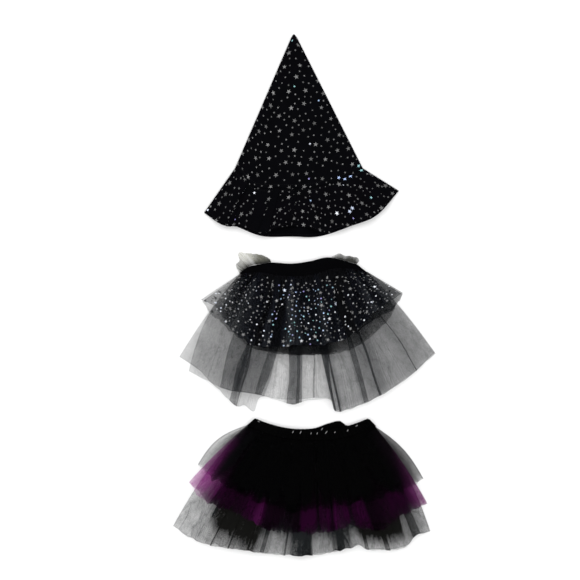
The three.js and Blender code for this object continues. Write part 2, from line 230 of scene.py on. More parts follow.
def finish_piece(piece, material, slot, *nodes):
    """Gives a piece its material, attaches it to the root body and hides the solids it stands for. The slot
    is not used.
    """
    piece.data.materials.clear()
    piece.data.materials.append(material)
    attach(piece, "root")
    if nodes:
        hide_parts(*nodes)


def shading(name):
    """A new material, with its node tree and its shader."""
    material = bpy.data.materials.new(name)
    material.use_nodes = True
    return material, material.node_tree, material.node_tree.nodes["Principled BSDF"]


def add_node(tree, kind, sources=None, **values):
    """A shader node with its named inputs and settings, and the outputs of other nodes that feed it."""
    node = tree.nodes.new(kind)
    for key, value in values.items():
        socket = key.replace("_", " ")
        if socket in node.inputs:
            node.inputs[socket].default_value = value
        else:
            setattr(node, key, value)
    for socket, output in (sources or {}).items():
        tree.links.new(output, node.inputs[socket])
    return node


def noise(tree, place, **values):
    """A soft random value from 0 to 1 that changes from place to place."""
    return add_node(tree, "ShaderNodeTexNoise", {"Vector": place}, **values).outputs["Fac"]


def colour_by(tree, value, stops):
    """The colour that goes with a value: pairs of a value and a colour, with those between mixed."""
    ramp = add_node(tree, "ShaderNodeValToRGB", {"Fac": value})
    while len(ramp.color_ramp.elements) < len(stops):
        ramp.color_ramp.elements.new(0.5)
    for element, (position, colour) in zip(ramp.color_ramp.elements, stops):
        element.position = position
        element.color = (*colour, 1)
    return ramp.outputs["Color"]


def raised(tree, height, strength):
    """The surface's direction where fine threads stand up by a value."""
    return add_node(
        tree, "ShaderNodeBump", {"Height": height}, Strength=strength, Distance=THREAD_RELIEF
    ).outputs["Normal"]


THREAD_RELIEF = 0.0003
BANDS_PER_THREAD = 0.31


def woven_black(name, colour, roughness, gloss, thread=0.0007):
    """Plain black cloth: fine crossed threads, slightly uneven in tone, with a faint sheen."""
    material, tree, shader = shading(name)
    weave_map = add_node(tree, "ShaderNodeUVMap").outputs["UV"]
    threads = dict(Scale=BANDS_PER_THREAD / thread, Distortion=0.4)
    crossed = []
    for way in ("X", "Y"):
        bands = add_node(tree, "ShaderNodeTexWave", {"Vector": weave_map}, bands_direction=way, **threads)
        crossed.append(bands.outputs["Fac"])
    weave = add_node(tree, "ShaderNodeMath", dict(enumerate(crossed)), operation="MULTIPLY")
    place = add_node(tree, "ShaderNodeTexCoord").outputs["Object"]
    wear = noise(tree, place, Scale=35, Detail=4, Roughness=0.6)
    tone = colour_by(tree, wear, [(0, [0.6 * c for c in colour]), (1, [1.6 * c for c in colour])])
    tree.links.new(tone, shader.inputs["Base Color"])
    tree.links.new(raised(tree, weave.outputs["Value"], 0.25), shader.inputs["Normal"])
    shader.inputs["Roughness"].default_value = roughness
    shader.inputs["Specular IOR Level"].default_value = gloss
    return material


hat_seam = line_through([(-146, 265), (-102, 225), (-62, 223), (-9, 223), (24, 226), (85, 244), (123, 265)])
hat_tip = line_through([(-28, 539), (-22, 547), (-15, 539)])
hat_cloth = woven_black("hat_cloth", (0.0009, 0.0009, 0.0015), roughness=0.7, gloss=0.02)
CONE_DENTS = (
    # share across, share down, width and length in shares, depth in mm, slant
    (0.30, 0.62, 0.10, 0.16, 1.1, 0.4),
    (0.64, 0.48, 0.08, 0.20, 0.9, -0.3),
    (0.52, 0.84, 0.16, 0.07, 1.0, 0.2),
    (0.20, 0.88, 0.08, 0.08, 0.8, -0.5),
    (0.80, 0.80, 0.07, 0.12, 0.9, 0.6),
)
CONE_COLUMNS, CONE_ROWS = 72, 120


def cone_grid(bottom, puff, dents):
    """One cone panel, from the tip's short arc down to the brim seam."""
    grid = []
    for row in range(CONE_ROWS):
        down = row / (CONE_ROWS - 1)
        line = []
        for column in range(CONE_COLUMNS):
            across = column / (CONE_COLUMNS - 1)
            place = hat_tip(across).lerp(hat_seam(across), down)
            height = puff * math.sin(math.pi * across) * math.sin(math.pi * down)
            for at, level, wide, long, depth, slant in dents:
                off = (across - at - slant * (down - level)) / wide
                height -= depth * math.exp(-off * off - ((down - level) / long) ** 2)
            edge = smooth(min(across, 1 - across) / 0.06) * smooth((1 - down) / 0.03)
            line.append((place.x, place.y, bottom + HAT_WALL + max(0.0, height) * edge))
        grid.append(line)
    return grid


cone_back_grid = cone_grid(0, 0, ())
cone_front_grid = cone_grid(HAT_WALL + SEAM_GAP, CROWN_PUFF, CONE_DENTS)
for cone_name, cone_panel in (("hat_cone_back", cone_back_grid), ("hat_cone_front", cone_front_grid)):
    cone = cloth_sheet(cone_name + "_cloth", cone_panel)
    give_thickness(cone, HAT_WALL)
    finish_piece(cone, hat_cloth, "star_cloth", cone_name)


# Hat brim: two flared panels of the same cloth, wider at the hem than at the seam, so they fall in flutes.
# The front panel is a little short in the middle, where the plain inside of the back panel shows below it.
# The layers of a garment lie on each other with a wall and a gap each, and some slack further from the seam
TULLE_WALL = 1.0
LAYER_SLACK = 0.9
OPENING_LENGTH = 60
# Lesser gathers: shares of their spacing, and of the height of the main folds
GATHER_SWAY, GATHER_WIDTH, GATHER_HEIGHT, GATHER_UNEVENNESS = 0.22, 0.24, 0.42, 0.2
# Turns, in radians, from one lesser gather to the next, and how many widths they keep from a main fold
SWAY_TURN, UNEVEN_TURN, UNEVEN_START = 2.4, 1.7, 0.6
CLEAR_OF_FOLDS = 1.6
# A pleat's plies lie this far apart, and a folded edge turns over at most this much cloth
PLY_GAP = 0.9
WIDEST_TURN = 1.6
# A pleat's edges turn over this share of its width, and it runs out over so many turns. The last numbers are
# shares of its drop, at its start and where it has run out.
TURN_SHARE, RUN_OUT = 0.25, 4
FIRST_DROP, LAST_DROP = 0.6, 0.4
# Shares of a tier's width: where its side edge bows out, and where it is held flat
BOW_SHARE = 0.3
EDGE_SHARE = 0.06
# A darker line runs down each side, and along the hem below the first of the last rows
SIDE_LINE = 2.4
LAST_ROWS = (2.6, 1.3)
CLEAREST, CLOSEST = 0.04, 0.995
# Shares of a tier's length over which its ruffles, the shade between its gathers and the painted shade that
# darkens its tint at the seam fade out
RUFFLE_REACH, GATHER_SHADE_REACH, SEAM_SHADE_REACH = 0.3, 0.25, 0.22
GATHER_SHADE = 0.22
# Shares of the way down from which a net thins out and frays
THIN_FROM, FRAY_FROM = 0.6, 0.88
# Dark bunches, in places painted shadow: how much they cover, how softly and how far past their end they
# fade, and how that end wavers
BUNCH_COVER, BUNCH_SOFTNESS, BUNCH_PAST_END = 0.97, 0.13, 0.3
BUNCH_WAVES, BUNCH_RIPPLES = 0.012, 0.006
# Streaks: the share that fine ones add, how strong they are where the net is clear, and at the seam
FINE_STREAKS, CLEAR_STREAKS, SEAM_STREAKS = 0.45, 0.4, 0.4
# A wandering fold: its half waves, and how unevenly it starts. Gathers are shifted by an uneven turn too.
WANDER_BENDS, WANDER_START, GATHER_SHIFT = 2.6, 3, 2.5


def side_factor(garment, x, y):
    """How far a garment's layers open at a place: nothing at its two sides, all of it further in."""
    angle = math.degrees(math.atan2(x - garment["fan"][0], garment["fan"][1] - y))
    reach = math.hypot(x - garment["fan"][0], y - garment["fan"][1])
    near, far = garment["near"], garment["far"]
    share = smooth((reach - near[0]) / (far[0] - near[0]))
    left, right = mixed(near[1], far[1], share), mixed(near[2], far[2], share)
    return smooth((angle - left) / garment["side_width"]) * smooth((right - angle) / garment["side_width"])


def folds_of(main_folds, gathers):
    """Ridges of a tier, each at, wide and high: the main ones given, and lesser gathers between them."""
    ridges = list(main_folds)
    for i in range(gathers):
        at = (i + 0.5 + GATHER_SWAY * math.sin(SWAY_TURN * i)) / gathers
        wide = GATHER_WIDTH / gathers
        if all(abs(main[0] - at) > main[1] + CLEAR_OF_FOLDS * wide for main in main_folds):
            uneven = GATHER_UNEVENNESS * math.sin(UNEVEN_TURN * i + UNEVEN_START)
            ridges.append((at, wide, GATHER_HEIGHT + uneven))
    return ridges


def pleated_columns(pleats, hem_width, step):
    """Columns along a pleated sheet: the share of the seam and of the hem that each one joins, its lift in
    plies, how far its hem drops, and whether it is a folded edge. Over a pleat the cloth turns back on itself
    and on again."""
    knots = [(0.0, 0.0, 0.0, 0.0, 0.0)]
    for seam_at, hem_at, seam_over, hem_over, drop, lean in sorted(pleats, key=lambda fold: fold[1]):
        turn = min(TURN_SHARE * hem_over, WIDEST_TURN) / hem_width
        half_seam, half_hem = seam_over / 2, hem_over / 2 / hem_width
        levels = (0.0, 0.5, 1.0, 1.0, 1.5, 2.0, 1.8) if lean > 0 else (1.8, 1.5, 1.0, 1.0, 0.5, 0.0, 0.0)
        knots += [
            (seam_at + half_seam, hem_at + half_hem - turn, levels[0], drop * FIRST_DROP, 0.0),
            (seam_at + half_seam, hem_at + half_hem, levels[1], drop, 1.0),
            (seam_at + half_seam, hem_at + half_hem - turn, levels[2], drop, 0.0),
            (seam_at - half_seam, hem_at - half_hem + turn, levels[3], drop, 0.0),
            (seam_at - half_seam, hem_at - half_hem, levels[4], drop, 1.0),
            (seam_at - half_seam, hem_at - half_hem + turn, levels[5], drop, 0.0),
            (seam_at + half_seam, hem_at + half_hem + RUN_OUT * turn, levels[6], drop * LAST_DROP, 0.0),
        ]
    knots.append((1.0, 1.0, 0.0, 0.0, 0.0))
    columns = []
    for start, end in zip(knots, knots[1:]):
        count = max(2, round(abs(end[1] - start[1]) * hem_width / step))
        for i in range(count):
            columns.append([mixed(a, b, i / count) for a, b in zip(start, end)])
    return columns + [list(knots[-1])]


def share_at_x(hem, x):
    """The share of a hem line that lies above a place given by its x in mm."""
    low, high = 0.0, 1.0
    for _ in range(24):
        middle = (low + high) / 2
        low, high = (middle, high) if hem(middle).x < x else (low, middle)
    return (low + high) / 2


def read_table(pairs):
    """Reads a table of pairs, a share and a value, eased from each to the next."""

    def at(share):
        for (before, low), (after, high) in zip(pairs, pairs[1:]):
            if share <= after:
                return mixed(low, high, smooth((share - before) / (after - before)))
        return pairs[-1][1]

    return at


def tier_grid(garment, tier):
    """The grid of one gathered tier, laid in its own layer of the stack, with its cover and its tint. Its
    tables
    are pairs of x on the hem and a value: density is the cover of the net, hue its tint, where 1 is darkest,
    in places painted shade, and dark_to how far down the tier its dark bunches reach, in places painted
    shadow."""

    def along_hem(key, value):
        pairs = tier.get(key, ((-300, value), (300, value)))
        return read_table([(share_at_x(hem, x), value) for x, value in pairs])

    seam, hem = tier["seam"], tier["hem"]
    pleats = [(fold[0], share_at_x(hem, fold[1]), *fold[2:]) for fold in tier.get("pleats", ())]
    columns = pleated_columns(pleats, hem.length, tier.get("step", 1.7))
    length = (hem(0.5) - seam(0.5)).length
    rows = tier.get("rows", 40)
    levels = [row / (rows - 3) for row in range(rows - 3)]
    levels += [1 - above / length for above in LAST_ROWS] + [1.0]
    ridges, high, wall = tier["ridges"], tier["high"], tier.get("wall", TULLE_WALL)
    bow_left, bow_right = tier.get("bow", (0, 0))
    below = sum(tier["under"])
    gathers, ruffle, seed = tier["gathers"], tier["ruffle"], tier["seed"]
    sway, drift, ragged = wavering(seed, 23), wavering(seed + 200, 9), wavering(seed + 100, 47)
    fine_ragged = wavering(seed + 300, 160)
    streak, fine_streak = wavering(seed + 50, 31), wavering(seed + 60, 140)
    density, hue, dark_to = along_hem("density", 1), along_hem("hue", 0), along_hem("dark_to", 0)
    ends = []
    for side in (0, 1):
        run = (hem(side) - seam(side)).normalized()
        ends.append(Vector((run.y, -run.x)) if side == 0 else Vector((-run.y, run.x)))
    grid, cover, tint = [[] for _ in levels], [[] for _ in levels], [[] for _ in levels]
    for seam_at, hem_at, plies, drop, folded in columns:
        share = min(1.0, max(0.0, hem_at))
        top, bottom = seam(seam_at), hem(hem_at)
        run = hem(min(1.0, share + 0.01)) - hem(max(0.0, share - 0.01))
        run = run.normalized()
        length = (bottom - top).length
        ridge = max((h * math.exp(-(((share - at) / wide) ** 2)) for at, wide, h in ridges), default=0)
        left = max(0.0, 1 - share / BOW_SHARE) ** 2
        right = max(0.0, 1 - (1 - share) / BOW_SHARE) ** 2
        from_side = min(share, 1 - share)
        inside = smooth(from_side / EDGE_SHARE)
        drawn_in = smooth(from_side / tier.get("pale_side", EDGE_SHARE))
        side_line = 1 - smooth(from_side * hem.length / SIDE_LINE)
        frayed = ragged(share) + tier.get("frayed", 0.2) * fine_ragged(share)
        hem_trim = tier.get("ragged", 0.0) * inside * frayed
        thick, own_tint, dark_end = density(share), hue(share), dark_to(share)
        drifted, start = drift(share), WANDER_START * sway(share)
        wide_streak, thin_streak = streak(share), fine_streak(share)
        bunch_end = dark_end + BUNCH_WAVES * wide_streak + BUNCH_RIPPLES * thin_streak
        combed = 0.5 + 0.5 * fine_ragged(1 - share)
        tint_streak = tier.get("shade_streak", 0) * streak(1 - share)
        fine = 0.5 + 0.5 * math.sin(2 * math.pi * gathers * seam_at + GATHER_SHIFT * sway(seam_at))
        for row, down in enumerate(levels):
            reach = 1 + (drop + hem_trim) * down * down / length
            place = top.lerp(bottom, down * reach)
            bulge = math.sin(math.pi * down)
            place = place + ends[0] * bow_left * bulge * left
            place = place + ends[1] * bow_right * bulge * right
            wander = tier.get("wander", 0.0) * inside * bulge
            place = place + run * wander * drifted * math.sin(WANDER_BENDS * math.pi * down + start)
            opened = smooth(down * length / OPENING_LENGTH)
            side = side_factor(garment, place.x, place.y)
            own = high * ridge + PLY_GAP * plies * smooth(down * 3)
            own += ruffle * fine * math.exp(-down / RUFFLE_REACH)
            stack = tier["layer"] * (wall + SEAM_GAP + LAYER_SLACK * opened)
            height = tier.get("lift", TULLE_WALL / 2) + stack + opened * side * (below + own)
            grid[row].append((place.x, place.y, height))
            thinned = smooth((down - THIN_FROM) / (1 - THIN_FROM))
            full = thick * mixed(1, tier.get("hem_thin", 1.0), thinned)
            near_seam = drawn_in * math.exp(-down * tier.get("seam_fade", 6))
            full = mixed(full, tier.get("seam_cover", 1), near_seam)
            # Dark bunches, which in places are painted shadow
            bunch_and_shadow = smooth((bunch_end - down) / BUNCH_SOFTNESS + BUNCH_PAST_END)
            full = mixed(full, BUNCH_COVER, bunch_and_shadow if dark_end > 0.01 else 0)
            streaked = (CLEAR_STREAKS + thick) * (wide_streak + FINE_STREAKS * thin_streak)
            full += tier.get("streak", 0) * streaked * mixed(SEAM_STREAKS, 1, down)
            full += GATHER_SHADE * (fine - 0.5) * math.exp(-down / GATHER_SHADE_REACH)
            comb = tier.get("fray", 0.0) * smooth((down - FRAY_FROM) / (1 - FRAY_FROM))
            full *= 1 - comb * combed
            full += tier.get("fold_line", 0.0) * folded + tier.get("side_line", 0.0) * side_line
            if row >= len(levels) - len(LAST_ROWS):
                full += tier.get("hem_line", 0.0)
            cover[row].append(min(CLOSEST, max(CLEAREST, full)))
            # Painted shade: the tint darkens towards the seam
            shade = own_tint + (1 - own_tint) * math.exp(-down / SEAM_SHADE_REACH) + tint_streak
            tint[row].append(min(1.0, max(0.0, shade)))
    return grid, cover, tint


HAT = dict(fan=(-56, 392), near=(200, -36, 55), far=(330, -35, 57), side_width=14)
BRIM_BACK_FOLD, BRIM_FRONT_FOLD = 6, 10
BRIM_TIERS = {
    "hat_brim_back": dict(
        hem=line_through([
            (-210, 173), (-135, 139), (-89, 122), (-30, 121), (29, 121), (98, 143), (150, 166),
            (197, 217),
        ]),
        layer=0,
        under=(),
        ridges=[
            (0.12, 0.06, 0.8), (0.30, 0.05, 0.6), (0.48, 0.07, 0.9), (0.70, 0.06, 0.8),
            (0.88, 0.05, 0.7),
        ],
        high=BRIM_BACK_FOLD,
    ),
    "hat_brim_front": dict(
        hem=line_through([
            (-211, 171), (-171, 145), (-133, 141), (-95, 127), (-47, 141), (1, 141), (43, 128),
            (98, 143), (150, 164), (199, 217),
        ]),
        layer=1,
        under=(BRIM_BACK_FOLD,),
        ridges=[
            (0.09, 0.05, 0.9),
            (0.20, 0.035, 0.5),
            (0.31, 0.05, 1.0),
            (0.43, 0.04, 0.55),
            (0.55, 0.05, 0.85),
            (0.67, 0.04, 0.6),
            (0.79, 0.05, 0.95),
            (0.91, 0.04, 0.7),
        ],
        pleats=[
            (0.36, -87, 0.03, 24, 3.0, 1), (0.50, -31, 0.01, 9, 1.0, -1), (0.14, -160, 0.01, 8, 1.0, 1),
        ],
        high=BRIM_FRONT_FOLD,
    ),
}
brim_grids = {}
for brim_name, brim in BRIM_TIERS.items():
    brim.update(seam=hat_seam, wall=HAT_WALL, lift=HAT_WALL, step=2.2, gathers=34, ruffle=0.5, seed=7)
    brim_grids[brim_name], _, _ = tier_grid(HAT, brim)
    brim_panel = cloth_sheet(brim_name + "_cloth", brim_grids[brim_name])
    give_thickness(brim_panel, HAT_WALL)
    finish_piece(brim_panel, hat_cloth, "star_cloth", brim_name)


# Stitching of the hat: black thread along the brim seam and along both hems, in short even stitches.
# Each stitch is a thin capsule that sinks into the cloth at its two ends.
def place_on(grid, row, column):
    """A place on the grid between its points, in millimetres."""
    row = min(len(grid) - 1.001, max(0.0, row))
    column = min(len(grid[0]) - 1.001, max(0.0, column))
    r, c = int(row), int(column)
    upper = Vector(grid[r][c]).lerp(Vector(grid[r][c + 1]), column - c)
    lower = Vector(grid[r + 1][c]).lerp(Vector(grid[r + 1][c + 1]), column - c)
    return upper.lerp(lower, row - r)


def column_at(reach, across):
    """The column, with its fraction, that a distance along a row of the grid falls in."""
    low, part = found_in(reach, across, 0.01)
    return low + part


STITCH_PITCH, STITCH_LENGTH, STITCH_THICK = 4.2, 3.0, 0.55
STITCH_CLEAR = 0.05
STITCH_SIDES = 6
# A stitch points to the place this far ahead, and is left out where the cloth turns back before it
LOOK_AHEAD, LEAST_AHEAD = 0.5, 0.2
CONE_STITCHES, BRIM_STITCHES, HEM_STITCHES = 116, 2, 35
# The rings of a stitch: shares of its length, its width, and how far it rises
STITCH_RINGS = (
    (-0.5, 0.15, -0.5), (-0.28, 0.85, 0.1), (0.0, 1.0, 0.25), (0.28, 0.85, 0.1), (0.5, 0.15, -0.5),
)


def stitch_rows(name, runs):
    """A joined mesh of small stitches along rows of cloth. A run is a grid and one of its rows."""
    vertices, faces = [], []
    for grid, row in runs:
        reach = distances(grid[row])
        start = STITCH_PITCH
        while start < reach[-1] - STITCH_PITCH:
            middle = place_on(grid, row, column_at(reach, start))
            ahead = place_on(grid, row, column_at(reach, start + LOOK_AHEAD)) - middle
            start += STITCH_PITCH
            if ahead.length < LEAST_AHEAD:
                continue
            ahead.normalize()
            side = Vector((-ahead.y, ahead.x, 0)).normalized()
            up = ahead.cross(side)
            base = len(vertices)
            for along, wide, high in STITCH_RINGS:
                for turn in range(STITCH_SIDES):
                    angle = turn * 2 * math.pi / STITCH_SIDES
                    across, above = math.cos(angle) * wide / 2, math.sin(angle) * wide / 2 + high
                    spot = middle + ahead * along * STITCH_LENGTH + side * across * STITCH_THICK
                    spot += up * (above * STITCH_THICK + STITCH_CLEAR)
                    vertices.append([value * MM for value in spot])
            for ring in range(len(STITCH_RINGS) - 1):
                for turn in range(STITCH_SIDES):
                    a = base + ring * STITCH_SIDES + turn
                    b = base + ring * STITCH_SIDES + (turn + 1) % STITCH_SIDES
                    faces.append((a, b, b + STITCH_SIDES, a + STITCH_SIDES))
            last_ring = base + (len(STITCH_RINGS) - 1) * STITCH_SIDES
            faces.append([base + turn for turn in reversed(range(STITCH_SIDES))])
            faces.append([last_ring + turn for turn in range(STITCH_SIDES)])
    stitches = mesh_piece(name, vertices, faces)
    select_only(stitches)
    bpy.ops.object.mode_set(mode="EDIT")
    bpy.ops.mesh.select_all(action="SELECT")
    bpy.ops.mesh.normals_make_consistent(inside=False)
    bpy.ops.object.mode_set(mode="OBJECT")
    bpy.ops.object.shade_smooth()
    return stitches


black_thread = woven_black("black_thread", (0.004, 0.004, 0.005), roughness=0.5, gloss=0.12, thread=0.0003)
hat_stitches = stitch_rows(
    "hat_stitches",
    [
        (cone_front_grid, CONE_STITCHES),
        (brim_grids["hat_brim_front"], BRIM_STITCHES),
        (brim_grids["hat_brim_front"], HEM_STITCHES),
        (brim_grids["hat_brim_back"], HEM_STITCHES),
    ],
)
finish_piece(hat_stitches, black_thread, "star_cloth")


# Foil stars: five-pointed spangles of silver foil, about 10 mm and 5 mm wide, pressed onto the cloth.
# They are scattered as on a printed cloth, and a few carry painted glints in white, blue, green or violet.
INNER_CORNER = 0.4
# Stars, and the painted glints on them, fade in from the seam over these distances, and large ones seldom get
# a painted glint
STAR_FADE, GLINT_FADE = 22, 25
LARGE_STAR, SMALL_STAR = 4, 2
LARGE_LIT, OUTER_LIT = 0.3, 0.4
SMALL_LEFT_OUT = 0.6
COLOURED_SHARE = 0.75
EVERYWHERE = 1000
STAR_SCALES = (0.88, 1.12)
# Tints of stars with a painted glint, and the brightest that a dim one has, near the middle and further out
COLOURED_TINTS, WHITE_TINTS = (0.62, 1.0), (0.46, 0.6)
DIM_TINT, OUTER_TINT = 0.42, 0.24
# A known place of a painted glint takes up the stars within this share of the least distance
TAKEN_WITHIN = 0.55


def star_outline(radius, turn):
    """The ten corners of a five-pointed star round its middle."""
    corners = []
    for i in range(10):
        reach = radius if i % 2 == 0 else INNER_CORNER * radius
        corners.append((reach * math.sin(turn + i * math.pi / 5), reach * math.cos(turn + i * math.pi / 5)))
    return corners


def scatter_stars(
    name, grid, passes, seed, glints, clear, faded=0.0, painted_glint_places=(), bare=(), colour_within=EVERYWHERE
):
    """Foil stars over a sheet, just above its upper face, or below it and facing down if clear is below 0.
    Each pass is a radius, the least distance to the stars before it, and how thickly they are strewn. Glints
    is the share with a painted glint, less near the seam where faded is given. Bright places are known
    painted
    glints: x, y, radius and tint. Bare strips are shares of the row without stars. Further out than
    colour_within the stars are dim, with fewer painted glints and none coloured, and fewer small ones."""
    draw = random.Random(seed)
    along = [distances(line) for line in grid]
    down = distances([line[len(line) // 2] for line in grid])
    widest = max(reach[-1] for reach in along)
    placed, vertices, faces, tints = [], [], [], []
    for star_radius, apart, strewn in passes:
        for _ in range(int(strewn * widest * down[-1] / apart**2)):
            level, across = draw.uniform(0, down[-1]), draw.uniform(0, widest)
            glint, turn, scale = draw.random(), draw.uniform(0, 2 * math.pi), draw.uniform(*STAR_SCALES)
            reach = along[int(column_at(down, level))]
            across -= (widest - reach[-1]) / 2
            if not 0 < across < reach[-1]:
                continue
            if any(start < across / reach[-1] < end for start, end in bare):
                continue
            aside = across - reach[-1] / 2
            near = [other for other in placed if abs(level - other[0]) < apart]
            if any(math.hypot(level - other[0], aside - other[1]) < apart for other in near):
                continue
            if draw.random() < faded * math.exp(-level / STAR_FADE):
                continue
            placed.append((level, aside))
            radius = star_radius * scale
            outer = abs(aside) > colour_within
            if outer and star_radius < SMALL_STAR and draw.random() < SMALL_LEFT_OUT:
                continue
            large = star_radius > LARGE_STAR
            share_lit = glints * (1 - faded * math.exp(-level / GLINT_FADE))
            share_lit *= (OUTER_LIT if outer else 1) * (LARGE_LIT if large else 1)
            coloured = draw.random() < COLOURED_SHARE and not outer and not large
            lit_tint = draw.uniform(*(COLOURED_TINTS if coloured else WHITE_TINTS))
            # Bright white and coloured tints are painted glints; the dim tints are the foil's own silver
            tint = lit_tint if glint < share_lit else draw.uniform(0.0, OUTER_TINT if outer else DIM_TINT)
            middle = place_on(grid, column_at(down, level), column_at(reach, across))
            # Known painted glints take up the stars near them
            for x, y, known_radius, known_tint in painted_glint_places:
                if math.hypot(middle.x - x, middle.y - y) < TAKEN_WITHIN * apart:
                    radius, tint = known_radius, known_tint
            base = len(vertices)
            for dx, dy in [(0, 0), *star_outline(radius, turn)]:
                spot = place_on(grid, column_at(down, level - dy), column_at(reach, across + dx))
                vertices.append((spot.x * MM, spot.y * MM, (spot.z + clear) * MM))
            star_faces = [(base, base + 1 + (i + 1) % 10, base + 1 + i) for i in range(10)]
            faces += star_faces if clear > 0 else [face[::-1] for face in star_faces]
            tints += [tint] * 11
    stars = mesh_piece(name, vertices, faces)
    give_values(stars.data, "tint", tints)
    return stars


def star_foil(name, silver, glow):
    """Silver foil, grey from star to star, that turns white, blue, green or violet where its tint paints a
    glint.
    """
    material, tree, shader = shading(name)
    tint = add_node(tree, "ShaderNodeAttribute", attribute_name="tint").outputs["Fac"]
    stops = (
        (0.0, [0.45 * silver] * 3),
        (0.25, [silver] * 3),
        (0.45, [1.6 * silver] * 3),
        (0.56, (0.9 * glow, 0.93 * glow, glow)),
        (0.68, (0.42 * glow, 0.55 * glow, 0.85 * glow)),
        (0.82, (0.25 * glow, 0.52 * glow, 0.5 * glow)),
        (0.94, (0.32 * glow, 0.28 * glow, 0.62 * glow)),
    )
    tree.links.new(colour_by(tree, tint, stops), shader.inputs["Base Color"])
    shader.inputs["Metallic"].default_value = 0.35
    shader.inputs["Roughness"].default_value = 0.38
    return material


hat_foil = star_foil("hat_foil", 0.105, 0.85)
# Passes of stars: radius, least distance between them, how thickly they are strewn
HAT_STARS = ((5.3, 25, 9), (2.4, 12.0, 7))
BRIM_STARS = ((4.8, 22, 9), (2.4, 11.5, 5), (1.5, 8.0, 1.2))
BRIM_GLINTS = (
    # x, y, radius, tint: stars with a painted glint, white, light blue, blue and teal
    (-125, 216, 4.6, 0.56),
    (-114, 218, 3.2, 0.56),
    (68, 172, 4.6, 0.56),
    (96, 176, 4.4, 0.62),
    (85, 248, 4.2, 0.68),
    (71, 219, 4.2, 0.92),
    (119, 269, 4.2, 0.80),
    (134, 210, 3.0, 0.80),
    (-178, 226, 3.0, 0.92),
)
# Two folds of the brim are left without stars as painted shadow: x on the hem where each starts and ends
BRIM_SHADOWS = ((-118, -98), (-84, -64))


def strips_of(hem, folds):
    """Folds given by x on a hem, as shares of the hem."""
    return [[share_at_x(hem, x) for x in fold] for fold in folds]


shadow_strips = strips_of(BRIM_TIERS["hat_brim_front"]["hem"], BRIM_SHADOWS)
for stars_name, stars_grid, star_passes, star_seed, glint_share, starless in (
    ("hat_cone_front_stars", cone_front_grid, HAT_STARS, 11, 0.01, ()),
    ("hat_brim_front_stars", brim_grids["hat_brim_front"], BRIM_STARS, 12, 0.05, shadow_strips),
):
    hat_stars = scatter_stars(
        stars_name,
        stars_grid,
        star_passes,
        star_seed,
        glint_share,
        clear=0.25,
        painted_glint_places=BRIM_GLINTS,
        bare=starless,
    )
    finish_piece(hat_stars, hat_foil, "star_cloth")


# Capelet yoke: a plain black band round the neck, cut in a front and a back that are sewn at the shoulders.
# The three tiers are gathered onto its lower edge, and small gathers run up into it.
YOKE_HEIGHT = 28
YOKE_WALL = 1.8
SEAM_STITCHES = 40
BAND_COLUMNS, BAND_ROWS = 420, 14
# The height of the six layers that end in a seam
STACK = 6 * TULLE_WALL + 5 * SEAM_GAP


def moved_out(line, fan, amount):
    """The same line moved away from the point that the gathers fan out from, in short straight stitches."""

    def stitch(i):
        point = line(i / SEAM_STITCHES)
        return point + (point - Vector(fan)).normalized() * amount

    stitches = [stitch(i) for i in range(SEAM_STITCHES + 1)]

    def at(share):
        along = min(1.0, max(0.0, share)) * SEAM_STITCHES
        before = min(SEAM_STITCHES - 1, int(along))
        return stitches[before].lerp(stitches[before + 1], along - before)

    at.length = sum((b - a).length for a, b in zip(stitches, stitches[1:]))
    return at


def band_grid(upper, lower, top, puckers, depth, seed):
    """A sewn band between two lines, puckered across by its gathers."""
    drift = wavering(seed, 37)
    grid = []
    for row in range(BAND_ROWS):
        down = row / (BAND_ROWS - 1)
        line = []
        for column in range(BAND_COLUMNS):
            share = column / (BAND_COLUMNS - 1)
            slant = share + 0.012 * down * drift(share)
            place = upper(slant).lerp(lower(slant), down)
            ridge = 0.5 - 0.5 * math.cos(2 * math.pi * puckers * slant + 2 * drift(slant))
            rounding = math.sin(math.pi * (0.12 + 0.76 * down))
            line.append((place.x, place.y, top + depth * ridge * rounding * (0.75 + 0.25 * drift(1 - share))))
        grid.append(line)
    return grid


CAPE = dict(fan=(1, 142), near=(230, -55, 56), far=(400, -42, 46), side_width=12)
neckline = line_through([(-113, 59), (-70, 66), (-26, 64), (12, 69), (50, 77), (110, 63)])
yoke_hem = moved_out(neckline, CAPE["fan"], YOKE_HEIGHT)
cape_black = woven_black("cape_black_cloth", (0.001, 0.001, 0.0013), roughness=0.9, gloss=0.015)
for yoke_name, yoke_top, yoke_puckers in (("cape_yoke_back", YOKE_WALL, 22), ("cape_yoke_front", STACK, 27)):
    yoke_grid = band_grid(neckline, yoke_hem, yoke_top, yoke_puckers, depth=0.7, seed=21)
    yoke = cloth_sheet(yoke_name + "_cloth", yoke_grid)
    give_thickness(yoke, YOKE_WALL)
    finish_piece(yoke, cape_black, "black_cloth", yoke_name)


# Capelet tiers: six sheets of net gathered onto the yoke, three in front and three behind, nested together.
# The outer tier is net with foil stars, the middle one is a closer black net, and the long one is sheer.
def worked_out(tree, operation, *values, **settings):
    """The result of a sum whose terms are numbers or outputs of nodes."""
    node = add_node(tree, "ShaderNodeMath", operation=operation, **settings)
    for term, value in zip(node.inputs, values):
        if isinstance(value, float):
            term.default_value = value
        else:
            tree.links.new(value, term)
    return node.outputs["Value"]


def carried_over(tree, value, start, end, first, last):
    """A value that runs from start to end, made to run from first to last and held there."""
    spans = dict(From_Min=start, From_Max=end, To_Min=first, To_Max=last)
    return add_node(tree, "ShaderNodeMapRange", {"Value": value}, **spans).outputs["Result"]


# A strand fades out between these distances from its middle, in cells, and adds this much to the cover
STRAND_EDGES, STRAND_COVER = (0.06, 0.2), 0.2
# The share of the cover that lies evenly between the strands, and the covers at which the gaps close up
EVEN_COVER = 0.76
CLOSING, CLOSED = 0.7, 0.95
# How much closer than a metre the creases and crinkles lie, across and down, and how wide each line is
CREASES, CRINKLES = ((42, 9, 1), 0.022), ((150, 80, 1), 0.03)


